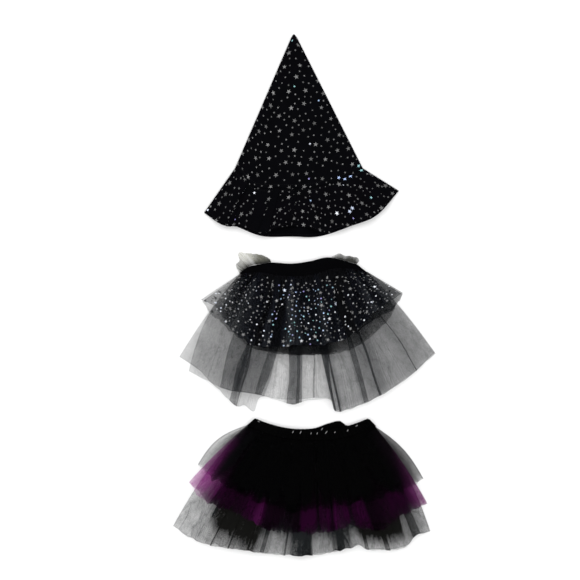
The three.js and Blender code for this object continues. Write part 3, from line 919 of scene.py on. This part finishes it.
def net(name, colours, cell=0.0019, cloud=0.07, crease=0.2, crinkle=0.1):
    """Net: threads round small even gaps. How much it covers comes with the sheet, in places more or less
    by the cloud. Long creases and short crinkles run down it as thin dark lines. Colours are those of a tint
    of 0, a half and 1, which also comes with the sheet."""
    material, tree, shader = shading(name)
    weave_map = add_node(tree, "ShaderNodeUVMap").outputs["UV"]
    cells = dict(feature="DISTANCE_TO_EDGE", voronoi_dimensions="2D", Scale=1 / cell, Randomness=0.3)
    gaps = add_node(tree, "ShaderNodeTexVoronoi", {"Vector": weave_map}, **cells)
    strand = carried_over(tree, gaps.outputs["Distance"], *STRAND_EDGES, STRAND_COVER, 0)
    place = add_node(tree, "ShaderNodeTexCoord").outputs["Object"]
    drift = noise(tree, place, Scale=48, Detail=6, Roughness=0.7)
    cover = add_node(tree, "ShaderNodeAttribute", attribute_name="cover").outputs["Fac"]
    creased = worked_out(tree, "ADD", carried_over(tree, drift, 0.3, 0.7, -cloud, cloud), cover)
    for (stretch, thin_line), darker in ((CREASES, crease), (CRINKLES, crinkle)):
        stretched = add_node(tree, "ShaderNodeMapping", {"Vector": weave_map}, Scale=stretch)
        lines = noise(tree, stretched.outputs["Vector"], Scale=1, Detail=3, Roughness=0.55, Distortion=0.6)
        from_line = worked_out(tree, "ABSOLUTE", worked_out(tree, "SUBTRACT", lines, 0.5))
        creased = worked_out(tree, "ADD", carried_over(tree, from_line, 0, thin_line, darker, 0), creased)
    thin = worked_out(tree, "MULTIPLY_ADD", creased, EVEN_COVER, strand, use_clamp=True)
    dense = carried_over(tree, creased, CLOSING, CLOSED, 0, 0.99)
    tree.links.new(worked_out(tree, "MAXIMUM", thin, dense, use_clamp=True), shader.inputs["Alpha"])
    tint = add_node(tree, "ShaderNodeAttribute", attribute_name="tint").outputs["Fac"]
    tree.links.new(colour_by(tree, tint, list(zip((0, 0.5, 1), colours))), shader.inputs["Base Color"])
    shader.inputs["Roughness"].default_value = 0.9
    shader.inputs["Specular IOR Level"].default_value = 0.02
    return material


BLACK_THREAD = (0.0022, 0.0023, 0.0028)
GREY_THREAD = (0.018, 0.020, 0.023)
BLUE_BLACK_THREAD = (0.0032, 0.0037, 0.0058)
sheer_colours = (GREY_THREAD, GREY_THREAD, BLACK_THREAD)
sheer_net = net("sheer_black_net", sheer_colours, cloud=0.06, crease=0.13, crinkle=0.09)
close_net = net("close_black_net", [BLACK_THREAD] * 3, cloud=0.03, crease=0.08, crinkle=0.05)
star_net = net("star_black_net", (GREY_THREAD, BLUE_BLACK_THREAD, BLACK_THREAD), cloud=0.05, crease=0.14)

CAPE_LONG_FRONT = line_through([
    (-243, -162), (-211, -178), (-180, -194), (-150, -203), (-120, -206), (-97, -211), (-70, -219),
    (-37, -228), (-20, -231), (-8, -226), (52, -221), (58, -226), (65, -246), (125, -230), (205, -185),
    (276, -125),
])
CAPE_LONG_BACK = line_through([
    (-263, -132), (-225, -157), (-180, -201), (-139, -237), (-126, -234), (-107, -247), (-93, -217),
    (-41, -222), (51, -219), (60, -226), (68, -243), (125, -229), (205, -184), (274, -124),
])
CAPE_LINING = line_through([
    (-175, -32), (-158, -69), (-118, -109), (-62, -124), (12, -127), (92, -118), (144, -84), (178, -52),
    (191, -29),
])
STAR_FRONT = line_through([
    (-217, -12), (-186, -27), (-165, -61), (-131, -92), (-85, -112), (-26, -106), (33, -105), (92, -89),
    (136, -48), (176, -17), (207, 2),
])
STAR_BACK = line_through([
    (-215, -16), (-190, -48), (-135, -88), (-30, -109), (85, -92), (155, -52), (192, -27), (207, -1),
])
STAR_FOLDS = [
    (0.17, 0.02, 0.9), (0.30, 0.022, 0.8), (0.45, 0.028, 1.0), (0.66, 0.02, 0.85), (0.84, 0.02, 0.9),
]
LONG_FOLDS = [
    (0.14, 0.025, 0.9),
    (0.25, 0.022, 1.0),
    (0.43, 0.022, 0.95),
    (0.56, 0.02, 0.9),
    (0.78, 0.024, 1.0),
    (0.92, 0.012, 0.7),
]
# Pleats: share of the seam, x on the hem, width at the seam as a share, width at the hem and drop in mm, lean
LONG_FRONT_PLEATS = [
    (0.20, -158, 0.120, 40, 0.0, 1),
    (0.27, -146, 0.010, 5, 0.0, -1),
    (0.38, -112, 0.260, 44, 1.0, -1),
    (0.41, -102, 0.010, 4, 0.0, 1),
    (0.465, -24, 0.060, 27, 2.0, 1),
    (0.48, -17, 0.006, 3, 0.0, 1),
    (0.53, 62, 0.070, 14, 0.0, -1),
    (0.56, 76, 0.006, 4, 0.0, -1),
    (0.72, 160, 0.008, 5, 0.0, 1),
    (0.84, 236, 0.006, 2, 0.0, -1),
]
LONG_BACK_PLEATS = [
    (0.24, -150, 0.02, 20, 0.0, -1),
    (0.55, 20, 0.01, 4, 0.0, 1),
    (0.70, 130, 0.02, 10, 0.0, 1),
]
STAR_PLEATS = [
    (0.16, -160, 0.02, 12, 0.0, 1),
    (0.30, -98, 0.02, 14, 0.0, 1),
    (0.42, -30, 0.03, 20, 0.0, 1),
    (0.66, 80, 0.02, 12, 0.0, -1),
    (0.84, 150, 0.02, 12, 0.0, -1),
]
# How each net hangs. Its cover: at the seam and how soon that fades, streaks, lines on folds, sides and hem.
# Its shape: height of the gathers at the seam, how far folds wander, how ragged the hem is.
SHEER = dict(
    seam_cover=0.6,
    seam_fade=5,
    streak=0.035,
    gathers=60,
    ruffle=1.2,
    wander=9.0,
    ragged=1.0,
    fold_line=0.24,
    side_line=0.2,
    hem_line=0.14,
)
CLOSE = dict(
    seam_cover=0.95,
    seam_fade=3,
    streak=0.05,
    gathers=50,
    ruffle=0.8,
    wander=3.0,
    ragged=2.0,
    hem_thin=0.94,
    density=(
        (-175, 0.2), (-160, 0.08), (-112, 0.1), (-84, 0.6), (40, 0.86), (80, 0.36), (170, 0.26),
        (191, 0.2),
    ),
)
STARRY = dict(
    seam_cover=0.97,
    seam_fade=3,
    streak=0.1,
    gathers=54,
    ruffle=1.4,
    wander=4.0,
    ragged=3.0,
    fold_line=0.25,
    side_line=0.25,
    hem_line=0.1,
    shade_streak=0.4,
    # Its tint along the hem, darkest as painted shade on the folds that show no stars
    hue=(
        (-217, 0.0), (-180, 0.1), (-150, 0.15), (-110, 0.25), (-101, 1.0), (-93, 1.0), (-87, 0.25),
        (-77, 0.3), (-70, 1.0), (-54, 1.0), (-47, 0.35), (-3, 0.35), (1, 1.0), (5, 0.35), (84, 0.4),
        (92, 1.0), (106, 1.0), (114, 0.4), (150, 0.4), (207, 0.15),
    ),
    pale_side=0.13,
    density=(
        (-217, 0.31), (-190, 0.35), (-162, 0.37), (-132, 0.62), (-105, 0.84), (120, 0.86), (165, 0.76),
        (207, 0.64),
    ),
)
CAPE_TIERS = [
    dict(
        STARRY,
        name="cape_star_tier_back",
        hem=STAR_BACK,
        ridges=folds_of([], 8),
        high=1,
        rows=26,
        density=((-215, 0.14), (-150, 0.18), (-115, 0.6), (150, 0.7), (207, 0.5)),
    ),
    dict(
        CLOSE,
        name="cape_lining_back",
        hem=CAPE_LINING,
        ridges=folds_of([], 8),
        high=1.5,
        rows=26,
        density=((-175, 0.05), (-110, 0.06), (-80, 0.6), (40, 0.86), (80, 0.3), (191, 0.12)),
    ),
    dict(
        SHEER,
        name="cape_long_tier_back",
        hem=CAPE_LONG_BACK,
        ridges=folds_of([], 11),
        pleats=LONG_BACK_PLEATS,
        high=3,
        bow=(5, 5),
        density=(
            (-263, 0.27), (-200, 0.26), (-90, 0.2), (-60, 0.08), (50, 0.06), (100, 0.26), (271, 0.29),
        ),
    ),
    dict(
        SHEER,
        name="cape_long_tier_front",
        hem=CAPE_LONG_FRONT,
        ridges=folds_of(LONG_FOLDS, 12),
        pleats=LONG_FRONT_PLEATS,
        high=6,
        bow=(18, 5),
        rows=48,
        density=(
            (-243, 0.22), (-205, 0.27), (-150, 0.16), (-95, 0.15), (-80, 0.04), (-46, 0.05), (-40, 0.27),
            (-9, 0.27), (-3, 0.1), (46, 0.1), (60, 0.72), (78, 0.52), (88, 0.34), (98, 0.32), (107, 0.4),
            (118, 0.31), (138, 0.35), (150, 0.52), (172, 0.57), (186, 0.38), (214, 0.36), (228, 0.44),
            (244, 0.35), (276, 0.32),
        ),
    ),
    dict(CLOSE, name="cape_lining_front", hem=CAPE_LINING, ridges=folds_of([], 9), high=2.5, rows=30),
    dict(
        STARRY,
        name="cape_star_tier_front",
        hem=STAR_FRONT,
        ridges=folds_of(STAR_FOLDS, 14),
        pleats=STAR_PLEATS,
        high=6,
        rows=44,
    ),
]
CAPE_NETS = dict(
    star=(star_net, "star_tulle"), lining=(close_net, "black_cloth"), long=(sheer_net, "sheer_tulle")
)


def hang_tiers(garment, tiers, seam, nets):
    """Lays the tiers of a garment on each other, from the surface up, and makes each into a sheet of net."""
    grids, rests = {}, "floor"
    for layer, tier in enumerate(tiers):
        tier.update(seam=seam, layer=layer, under=[other["high"] for other in tiers[:layer]], seed=30 + layer)
        grid, cover, tint = tier_grid(garment, tier)
        grids[tier["name"]] = grid
        sheet = cloth_sheet(tier["name"] + "_net", grid, cover, tint)
        kind = tier["name"].split("_")[1]
        finish_piece(sheet, *nets[kind], tier["name"])
        rests = tier["name"]
    return grids


cape_grids = hang_tiers(CAPE, CAPE_TIERS, yoke_hem, CAPE_NETS)


# Stars on the capelet: smaller and closer foil spangles than on the hat, many of them with painted glints.
# They cover the outer tier from just below the yoke to its hem.
cape_foil = star_foil("cape_foil", 0.19, 1.0)
CAPE_STARS = ((4.6, 26, 6), (2.4, 9.5, 2.2), (1.5, 6.0, 0.9))
CAPE_BACK_STARS = ((4.8, 26, 5), (2.4, 16, 2))
# Folds of the outer tier in painted shade, tinted darkest and with no stars: x on its hem where each starts
# and ends
SHADED_FOLDS = ((-103, -92), (-72, -52), (-1, 3), (92, 106))
for cape_stars_name, cape_stars_tier, cape_passes, cape_seed, cape_clear in (
    ("cape_front_stars", "cape_star_tier_front", CAPE_STARS, 41, 0.3),
    ("cape_back_stars", "cape_star_tier_back", CAPE_BACK_STARS, 42, -0.3),
):
    cape_stars = scatter_stars(
        cape_stars_name,
        cape_grids[cape_stars_tier][2:],
        cape_passes,
        cape_seed,
        glints=0.72,
        clear=cape_clear,
        faded=0.97,
        bare=strips_of(STAR_FRONT, SHADED_FOLDS),
        colour_within=85,
    )
    finish_piece(cape_stars, cape_foil, "star_tulle")


# Neck frills: a short gathered strip of pale net at each end of the neck, sewn on by its inner edge.
# They stand out past the shoulders and show the surface through them.
FRILL_HEIGHT, FRILL_LIFT = 4, 0.6
FRILL_COLUMNS, FRILL_ROWS = 160, 16
frill_colours = ((0.36, 0.36, 0.28), (0.16, 0.16, 0.13), (0.03, 0.03, 0.03))
frill_net = net("pale_frill_net", frill_colours, cell=0.0016, cloud=0.16)
FRILLS = {
    "cape_frill_left": dict(
        inner=line_through([(-70, 66.6), (-90.8, 63.8), (-113.2, 59.5), (-135.8, 43)]),
        outer=line_through([
            (-72, 73), (-81, 79), (-93, 83), (-115, 86), (-137, 88), (-140, 84), (-138, 72), (-145, 61),
            (-138, 47),
        ]),
        gathers=7,
        cover=read_table((
            (0, 0.8), (0.2, 0.7), (0.42, 0.46), (0.5, 0.22), (0.66, 0.22), (0.74, 0.44), (1, 0.38),
        )),
        tint=read_table(((0, 0.85), (0.3, 0.5), (0.45, 0.1), (0.64, 0.0), (0.74, 0.6), (1, 0.7))),
        cut=(0.10, 0.026),
    ),
    "cape_frill_right": dict(
        inner=line_through([(110.2, 63.5), (88.4, 69.7), (66.4, 75.5), (57, 77)]),
        outer=line_through([(116, 70), (113, 76), (97, 80), (84, 81), (74, 86), (66, 83), (59, 79.5)]),
        gathers=5,
        cover=read_table(((0, 0.65), (0.35, 0.75), (0.6, 0.55), (0.85, 0.3), (1, 0.3))),
        tint=read_table(((0, 0.9), (0.7, 0.9), (1, 0.6))),
        cut=(0.06, 0.013),
    ),
}
for frill_name, frill in FRILLS.items():
    frill_drift, frill_edge = wavering(5, 12), wavering(9, 26)
    frill_grid, frill_cover, frill_tint = [], [], []
    for row in range(FRILL_ROWS):
        away = row / (FRILL_ROWS - 1)
        line, density, shades = [], [], []
        for column in range(FRILL_COLUMNS):
            share = column / (FRILL_COLUMNS - 1)
            crossing = share + 0.03 * away * math.sin(2 * math.pi * frill["gathers"] * share)
            crossing += 0.02 * away * frill_drift(share)
            reach = away * (1 - 0.05 * away * (1 + frill_edge(share)))
            place = frill["inner"](share).lerp(frill["outer"](crossing), reach)
            ridge = 0.5 + 0.5 * math.cos(2 * math.pi * frill["gathers"] * share + 2 * frill_drift(share))
            line.append((place.x, place.y, FRILL_LIFT + FRILL_HEIGHT * ridge * (0.3 + 0.7 * away)))
            fold = 0.3 * math.exp(-(((ridge - 0.9) / 0.05) ** 2)) + (0.12 if row == FRILL_ROWS - 1 else 0)
            density.append(frill["cover"](share) + 0.5 * (1 - away) ** 2 + fold + 0.08 * frill_drift(share))
            shades.append(mixed(0.95, frill["tint"](share), smooth(1.5 * away)))
        frill_grid.append(line)
        frill_cover.append(density)
        frill_tint.append(shades)
    frill_sheet = cloth_sheet(frill_name + "_net", frill_grid, frill_cover, frill_tint)
    finish_piece(frill_sheet, frill_net, "pale_tulle", frill_name)


# Tutu waistband: a tube of black satin over elastic, drawn up into small gathers, a few of them pale grey as
# painted highlights.
# Laid flat its front lies on its back, which rides up above it right of the middle.
WAISTBAND_HEIGHT = 23
WAISTBAND_WALL = 2.5


def black_satin(name):
    """Black satin: fine ribs across the gathers, glossy along the threads."""
    material, tree, shader = shading(name)
    weave_map = add_node(tree, "ShaderNodeUVMap").outputs["UV"]
    fine_ribs = dict(bands_direction="X", Scale=420, Distortion=1.5, Detail=2)
    ribs = add_node(tree, "ShaderNodeTexWave", {"Vector": weave_map}, **fine_ribs)
    tree.links.new(raised(tree, ribs.outputs["Fac"], 0.15), shader.inputs["Normal"])
    wear = noise(tree, add_node(tree, "ShaderNodeTexCoord").outputs["Object"], Scale=60, Detail=3)
    tree.links.new(carried_over(tree, wear, 0, 1, 0.12, 0.26), shader.inputs["Roughness"])
    tone = colour_by(tree, wear, ((0, (0.0002, 0.0002, 0.0003)), (1, (0.0005, 0.0005, 0.0006))))
    tree.links.new(tone, shader.inputs["Base Color"])
    shader.inputs["Specular IOR Level"].default_value = 0.01
    return material


TUTU = dict(fan=(25, -153), near=(260, -50, 45), far=(440, -43, 36), side_width=12)
waist_front = line_through([(-104, -262), (-73, -273), (-35, -282), (30, -285), (85, -279), (133, -263)])
waist_back = line_through([
    (-104, -262), (-73, -274), (-35, -283), (20, -283), (50, -273), (75, -268), (90, -277), (133, -263),
])
waist_hem = moved_out(waist_front, TUTU["fan"], WAISTBAND_HEIGHT)
satin = black_satin("black_satin")
for band_name, band_line, band_top in (
    ("tutu_waistband_back", waist_back, WAISTBAND_WALL),
    ("tutu_waistband_front", waist_front, STACK),
):
    satin_grid = band_grid(band_line, waist_hem, band_top, puckers=31, depth=1.9, seed=61)
    band = cloth_sheet(band_name + "_satin", satin_grid)
    give_thickness(band, WAISTBAND_WALL)
    finish_piece(band, satin, "black_satin", band_name)

# Tight satin gathers that stand up slantwise where the elastic pulls hardest, coloured pale grey as painted
# highlights: x, y, length, turn in degrees
BAND_GLINTS = (
    (-96, -268, 5.5, -40),
    (-24, -290, 6.0, 48),
    (-8, -291, 7.0, 52),
    (14, -293, 4.5, 70),
    (27, -293, 5.0, 64),
    (37, -284, 6.0, 40),
    (46, -291, 8.0, 44),
    (64, -291, 5.0, 40),
    (91, -287, 5.5, 50),
    (110, -277, 6.0, 20),
)
RIDGE_HALF_WIDTH, RIDGE_BEND, RIDGE_LIFT, RIDGE_HEIGHT = 0.75, 0.06, 1.2, 0.6
# Painted highlight: these gathers are pale grey satin, where the band itself is near black
painted_highlight_satin, lit_tree, lit_shader = shading("painted_highlight_satin")
lit_place = add_node(lit_tree, "ShaderNodeTexCoord").outputs["Object"]
lit_noise = noise(lit_tree, lit_place, Scale=900, Detail=3)
painted_highlight_tone = colour_by(lit_tree, lit_noise, ((0, (0.03, 0.03, 0.032)), (1, (0.5, 0.5, 0.51))))
lit_tree.links.new(painted_highlight_tone, lit_shader.inputs["Base Color"])
lit_shader.inputs["Roughness"].default_value = 0.25
ridges_made = []
for ridge_x, ridge_y, ridge_length, ridge_turn in BAND_GLINTS:
    bpy.ops.mesh.primitive_uv_sphere_add(segments=12, ring_count=8, radius=1)
    satin_ridge = bpy.context.object
    turned = math.radians(ridge_turn)
    for vertex in satin_ridge.data.vertices:
        away, aside = vertex.co.x * ridge_length / 2, vertex.co.y * RIDGE_HALF_WIDTH
        aside += RIDGE_BEND * away * abs(away)
        x = ridge_x + away * math.cos(turned) - aside * math.sin(turned)
        y = ridge_y + away * math.sin(turned) + aside * math.cos(turned)
        vertex.co = (x * MM, y * MM, (STACK + RIDGE_LIFT + RIDGE_HEIGHT * vertex.co.z) * MM)
    ridges_made.append(satin_ridge)
select_only(*ridges_made)
bpy.ops.object.join()
band_ridges = bpy.context.object
band_ridges.name = band_ridges.data.name = "tutu_waistband_painted_highlights"
bpy.ops.object.shade_smooth()
finish_piece(band_ridges, painted_highlight_satin, "black_satin")


# Tutu tiers: six sheets of net gathered onto the waistband, three in front and three behind, nested together.
# The short outer tier is black, the middle one purple, and the long inner one black and sheer at its ends.
BLACK_HEM = line_through([
    (-224, -359), (-173, -399), (-118, -420), (-60, -446), (-5, -452), (54, -442), (121, -434),
    (180, -418), (231, -399), (250, -388),
])
PURPLE_HEM = line_through([
    (-243, -396), (-223, -418), (-196, -440), (-144, -458), (-89, -488), (-1, -496), (29, -498),
    (100, -484), (155, -491), (197, -469), (259, -441),
])
GREY_HEM = line_through([
    (-276, -488), (-228, -517), (-177, -529), (-118, -540), (-47, -547), (26, -547), (96, -533),
    (113, -526), (128, -535), (160, -538), (203, -535), (220, -524), (231, -510), (265, -499),
])
tutu_black_colours = (GREY_THREAD, BLACK_THREAD, (0.0004, 0.0004, 0.0005))
# The purple net's own magenta, then darker stops that its tint runs to as painted shade
tutu_purple_colours = ((0.40, 0.045, 0.33), (0.013, 0.0006, 0.011), (0.0012, 0.0004, 0.0012))
tutu_grey_colours = ((0.018, 0.021, 0.024), (0.005, 0.005, 0.0045), (0.0015, 0.0015, 0.0013))
tutu_black_net = net("tutu_black_net", tutu_black_colours, cloud=0.05, crease=0.1)
purple_net = net("tutu_purple_net", tutu_purple_colours, cloud=0.07, crease=0.16)
tutu_grey_net = net("tutu_sheer_net", tutu_grey_colours, cloud=0.09, crease=0.2, crinkle=0.2)
DENSE = dict(
    seam_cover=0.99,
    seam_fade=3,
    streak=0.13,
    gathers=64,
    ruffle=1.4,
    wander=4.0,
    ragged=6.0,
    hem_thin=0.86,
    frayed=0.5,
    fold_line=0.2,
    side_line=0.42,
    fray=0.7,
    density=(
        (-224, 0.1), (-212, 0.14), (-191, 0.8), (-160, 0.95), (-130, 1.0), (190, 1.0), (214, 0.9),
        (230, 0.62), (250, 0.4),
    ),
    hue=((-224, 0.0), (-200, 0.5), (-160, 1.0), (190, 1.0), (235, 0.6), (250, 0.4)),
)
VIOLET = dict(
    seam_cover=0.97,
    seam_fade=3,
    streak=0.16,
    gathers=64,
    ruffle=1.2,
    wander=4.0,
    ragged=5.0,
    frayed=0.4,
    hem_thin=0.9,
    fold_line=0.2,
    fray=0.6,
    density=((-243, 0.3), (-222, 0.42), (-195, 0.84), (-130, 0.97), (200, 0.97), (232, 0.84), (259, 0.6)),
)
MISTY = dict(
    seam_cover=0.9,
    seam_fade=4,
    streak=0.08,
    gathers=64,
    ruffle=1.2,
    wander=4.0,
    ragged=2.5,
    frayed=0.15,
    fold_line=0.3,
    side_line=0.15,
    hem_line=0.12,
)
# The purple net is tinted darker where it is bunched and towards its middle, as painted shade: pairs of x on
# the hem and its tint
PURPLE_HUES = (
    (-243, 0.06), (-222, 0.14), (-206, 0.4), (-185, 0.66), (-140, 0.8), (-125, 0.5), (-98, 0.46),
    (-85, 0.9), (-15, 0.95), (-4, 0.52), (22, 0.5), (30, 0.95), (38, 0.5), (54, 0.5), (60, 0.92),
    (66, 0.48), (98, 0.5), (104, 0.95), (112, 0.5), (136, 0.5), (148, 0.95), (170, 0.9), (182, 0.66),
    (214, 0.6), (234, 0.46), (248, 0.38), (259, 0.3),
)
# The long net is bunched in places: its cover along the hem, and how far down its dark bunches reach. Right
# of x 125 they run on below the purple hem as painted shadow.
GREY_BUNCHES = (
    (-276, 0.1), (-234, 0.12), (-218, 0.15), (-196, 0.34), (-160, 0.5), (-122, 0.7), (-110, 0.9),
    (-104, 0.38), (-78, 0.34), (-74, 0.16), (-46, 0.2), (-34, 0.5), (-24, 0.84), (16, 0.9), (19, 0.22),
    (58, 0.28), (63, 0.82), (94, 0.78), (104, 0.34), (125, 0.18), (212, 0.18), (230, 0.42), (265, 0.3),
)
GREY_DARK_TO = (
    (-276, 0.0), (-232, 0.0), (-222, 0.84), (-190, 0.91), (-150, 0.94), (-114, 0.97), (-100, 0.85),
    (-80, 0.83), (15, 0.86), (60, 0.87), (105, 0.86), (125, 0.935), (215, 0.935), (226, 0.6), (240, 0.0),
    (265, 0.0),
)
BLACK_PLEATS = [
    (0.2, -135, 0.02, 12, 0.0, 1), (0.42, -25, 0.02, 16, 0.0, -1), (0.7, 110, 0.02, 14, 0.0, 1),
]
PURPLE_PLEATS = [
    (0.18, -165, 0.02, 12, 0.0, 1),
    (0.35, -78, 0.02, 16, 0.0, -1),
    (0.47, -8, 0.02, 14, 2.0, 1),
    (0.61, 62, 0.02, 16, 0.0, 1),
    (0.78, 152, 0.02, 14, 0.0, -1),
]
GREY_PLEATS = [
    (0.19, -196, 0.01, 3, 1.0, 1),
    (0.24, -160, 0.01, 3, 0.0, 1),
    (0.30, -120, 0.02, 5, 0.0, -1),
    (0.36, -90, 0.02, 9, 0.0, -1),
    (0.44, -42, 0.01, 4, 0.0, 1),
    (0.50, 4, 0.02, 20, 0.0, -1),
    (0.63, 78, 0.02, 16, -3.0, 1),
    (0.72, 132, 0.02, 8, 0.0, 1),
    (0.79, 176, 0.02, 10, 0.0, -1),
    (0.88, 236, 0.02, 18, 0.0, -1),
]
GREY_BACK_DENSITY = (
    (-276, 0.16), (-200, 0.2), (-110, 0.36), (-70, 0.26), (110, 0.3), (220, 0.36), (265, 0.24),
)
TUTU_TIERS = [
    dict(
        DENSE,
        name="tutu_black_tier_back",
        hem=BLACK_HEM,
        ridges=folds_of([], 8),
        high=1,
        bow=(15, 11),
        rows=26,
    ),
    dict(
        VIOLET,
        name="tutu_purple_tier_back",
        hem=PURPLE_HEM,
        ridges=folds_of([], 9),
        high=2.5,
        bow=(3, 5),
        rows=30,
        hue=((-243, 0.06), (-200, 0.6), (200, 0.7), (259, 0.3)),
    ),
    dict(
        MISTY,
        name="tutu_grey_tier_back",
        hem=GREY_HEM,
        ridges=folds_of([], 11),
        high=4,
        bow=(10, 12),
        rows=34,
        density=GREY_BACK_DENSITY,
    ),
    dict(
        MISTY,
        name="tutu_grey_tier_front",
        hem=GREY_HEM,
        ridges=folds_of([], 14),
        pleats=GREY_PLEATS,
        high=6,
        bow=(10, 12),
        rows=44,
        density=GREY_BUNCHES,
        dark_to=GREY_DARK_TO,
        hue=(
            (-276, 0), (-232, 0), (-214, 0.5), (-108, 0.5), (-98, 0.25), (110, 0.3), (130, 0.6),
            (215, 0.6), (265, 0.1),
        ),
    ),
    dict(
        VIOLET,
        name="tutu_purple_tier_front",
        hem=PURPLE_HEM,
        ridges=folds_of([], 13),
        pleats=PURPLE_PLEATS,
        high=6,
        bow=(3, 5),
        rows=40,
        hue=PURPLE_HUES,
    ),
    dict(
        DENSE,
        name="tutu_black_tier_front",
        hem=BLACK_HEM,
        ridges=folds_of([], 13),
        pleats=BLACK_PLEATS,
        high=7,
        bow=(15, 11),
        rows=36,
    ),
]
TUTU_NETS = dict(
    black=(tutu_black_net, "black_tulle"),
    purple=(purple_net, "purple_tulle"),
    grey=(tutu_grey_net, "sheer_tulle"),
)
hang_tiers(TUTU, TUTU_TIERS, waist_hem, TUTU_NETS)
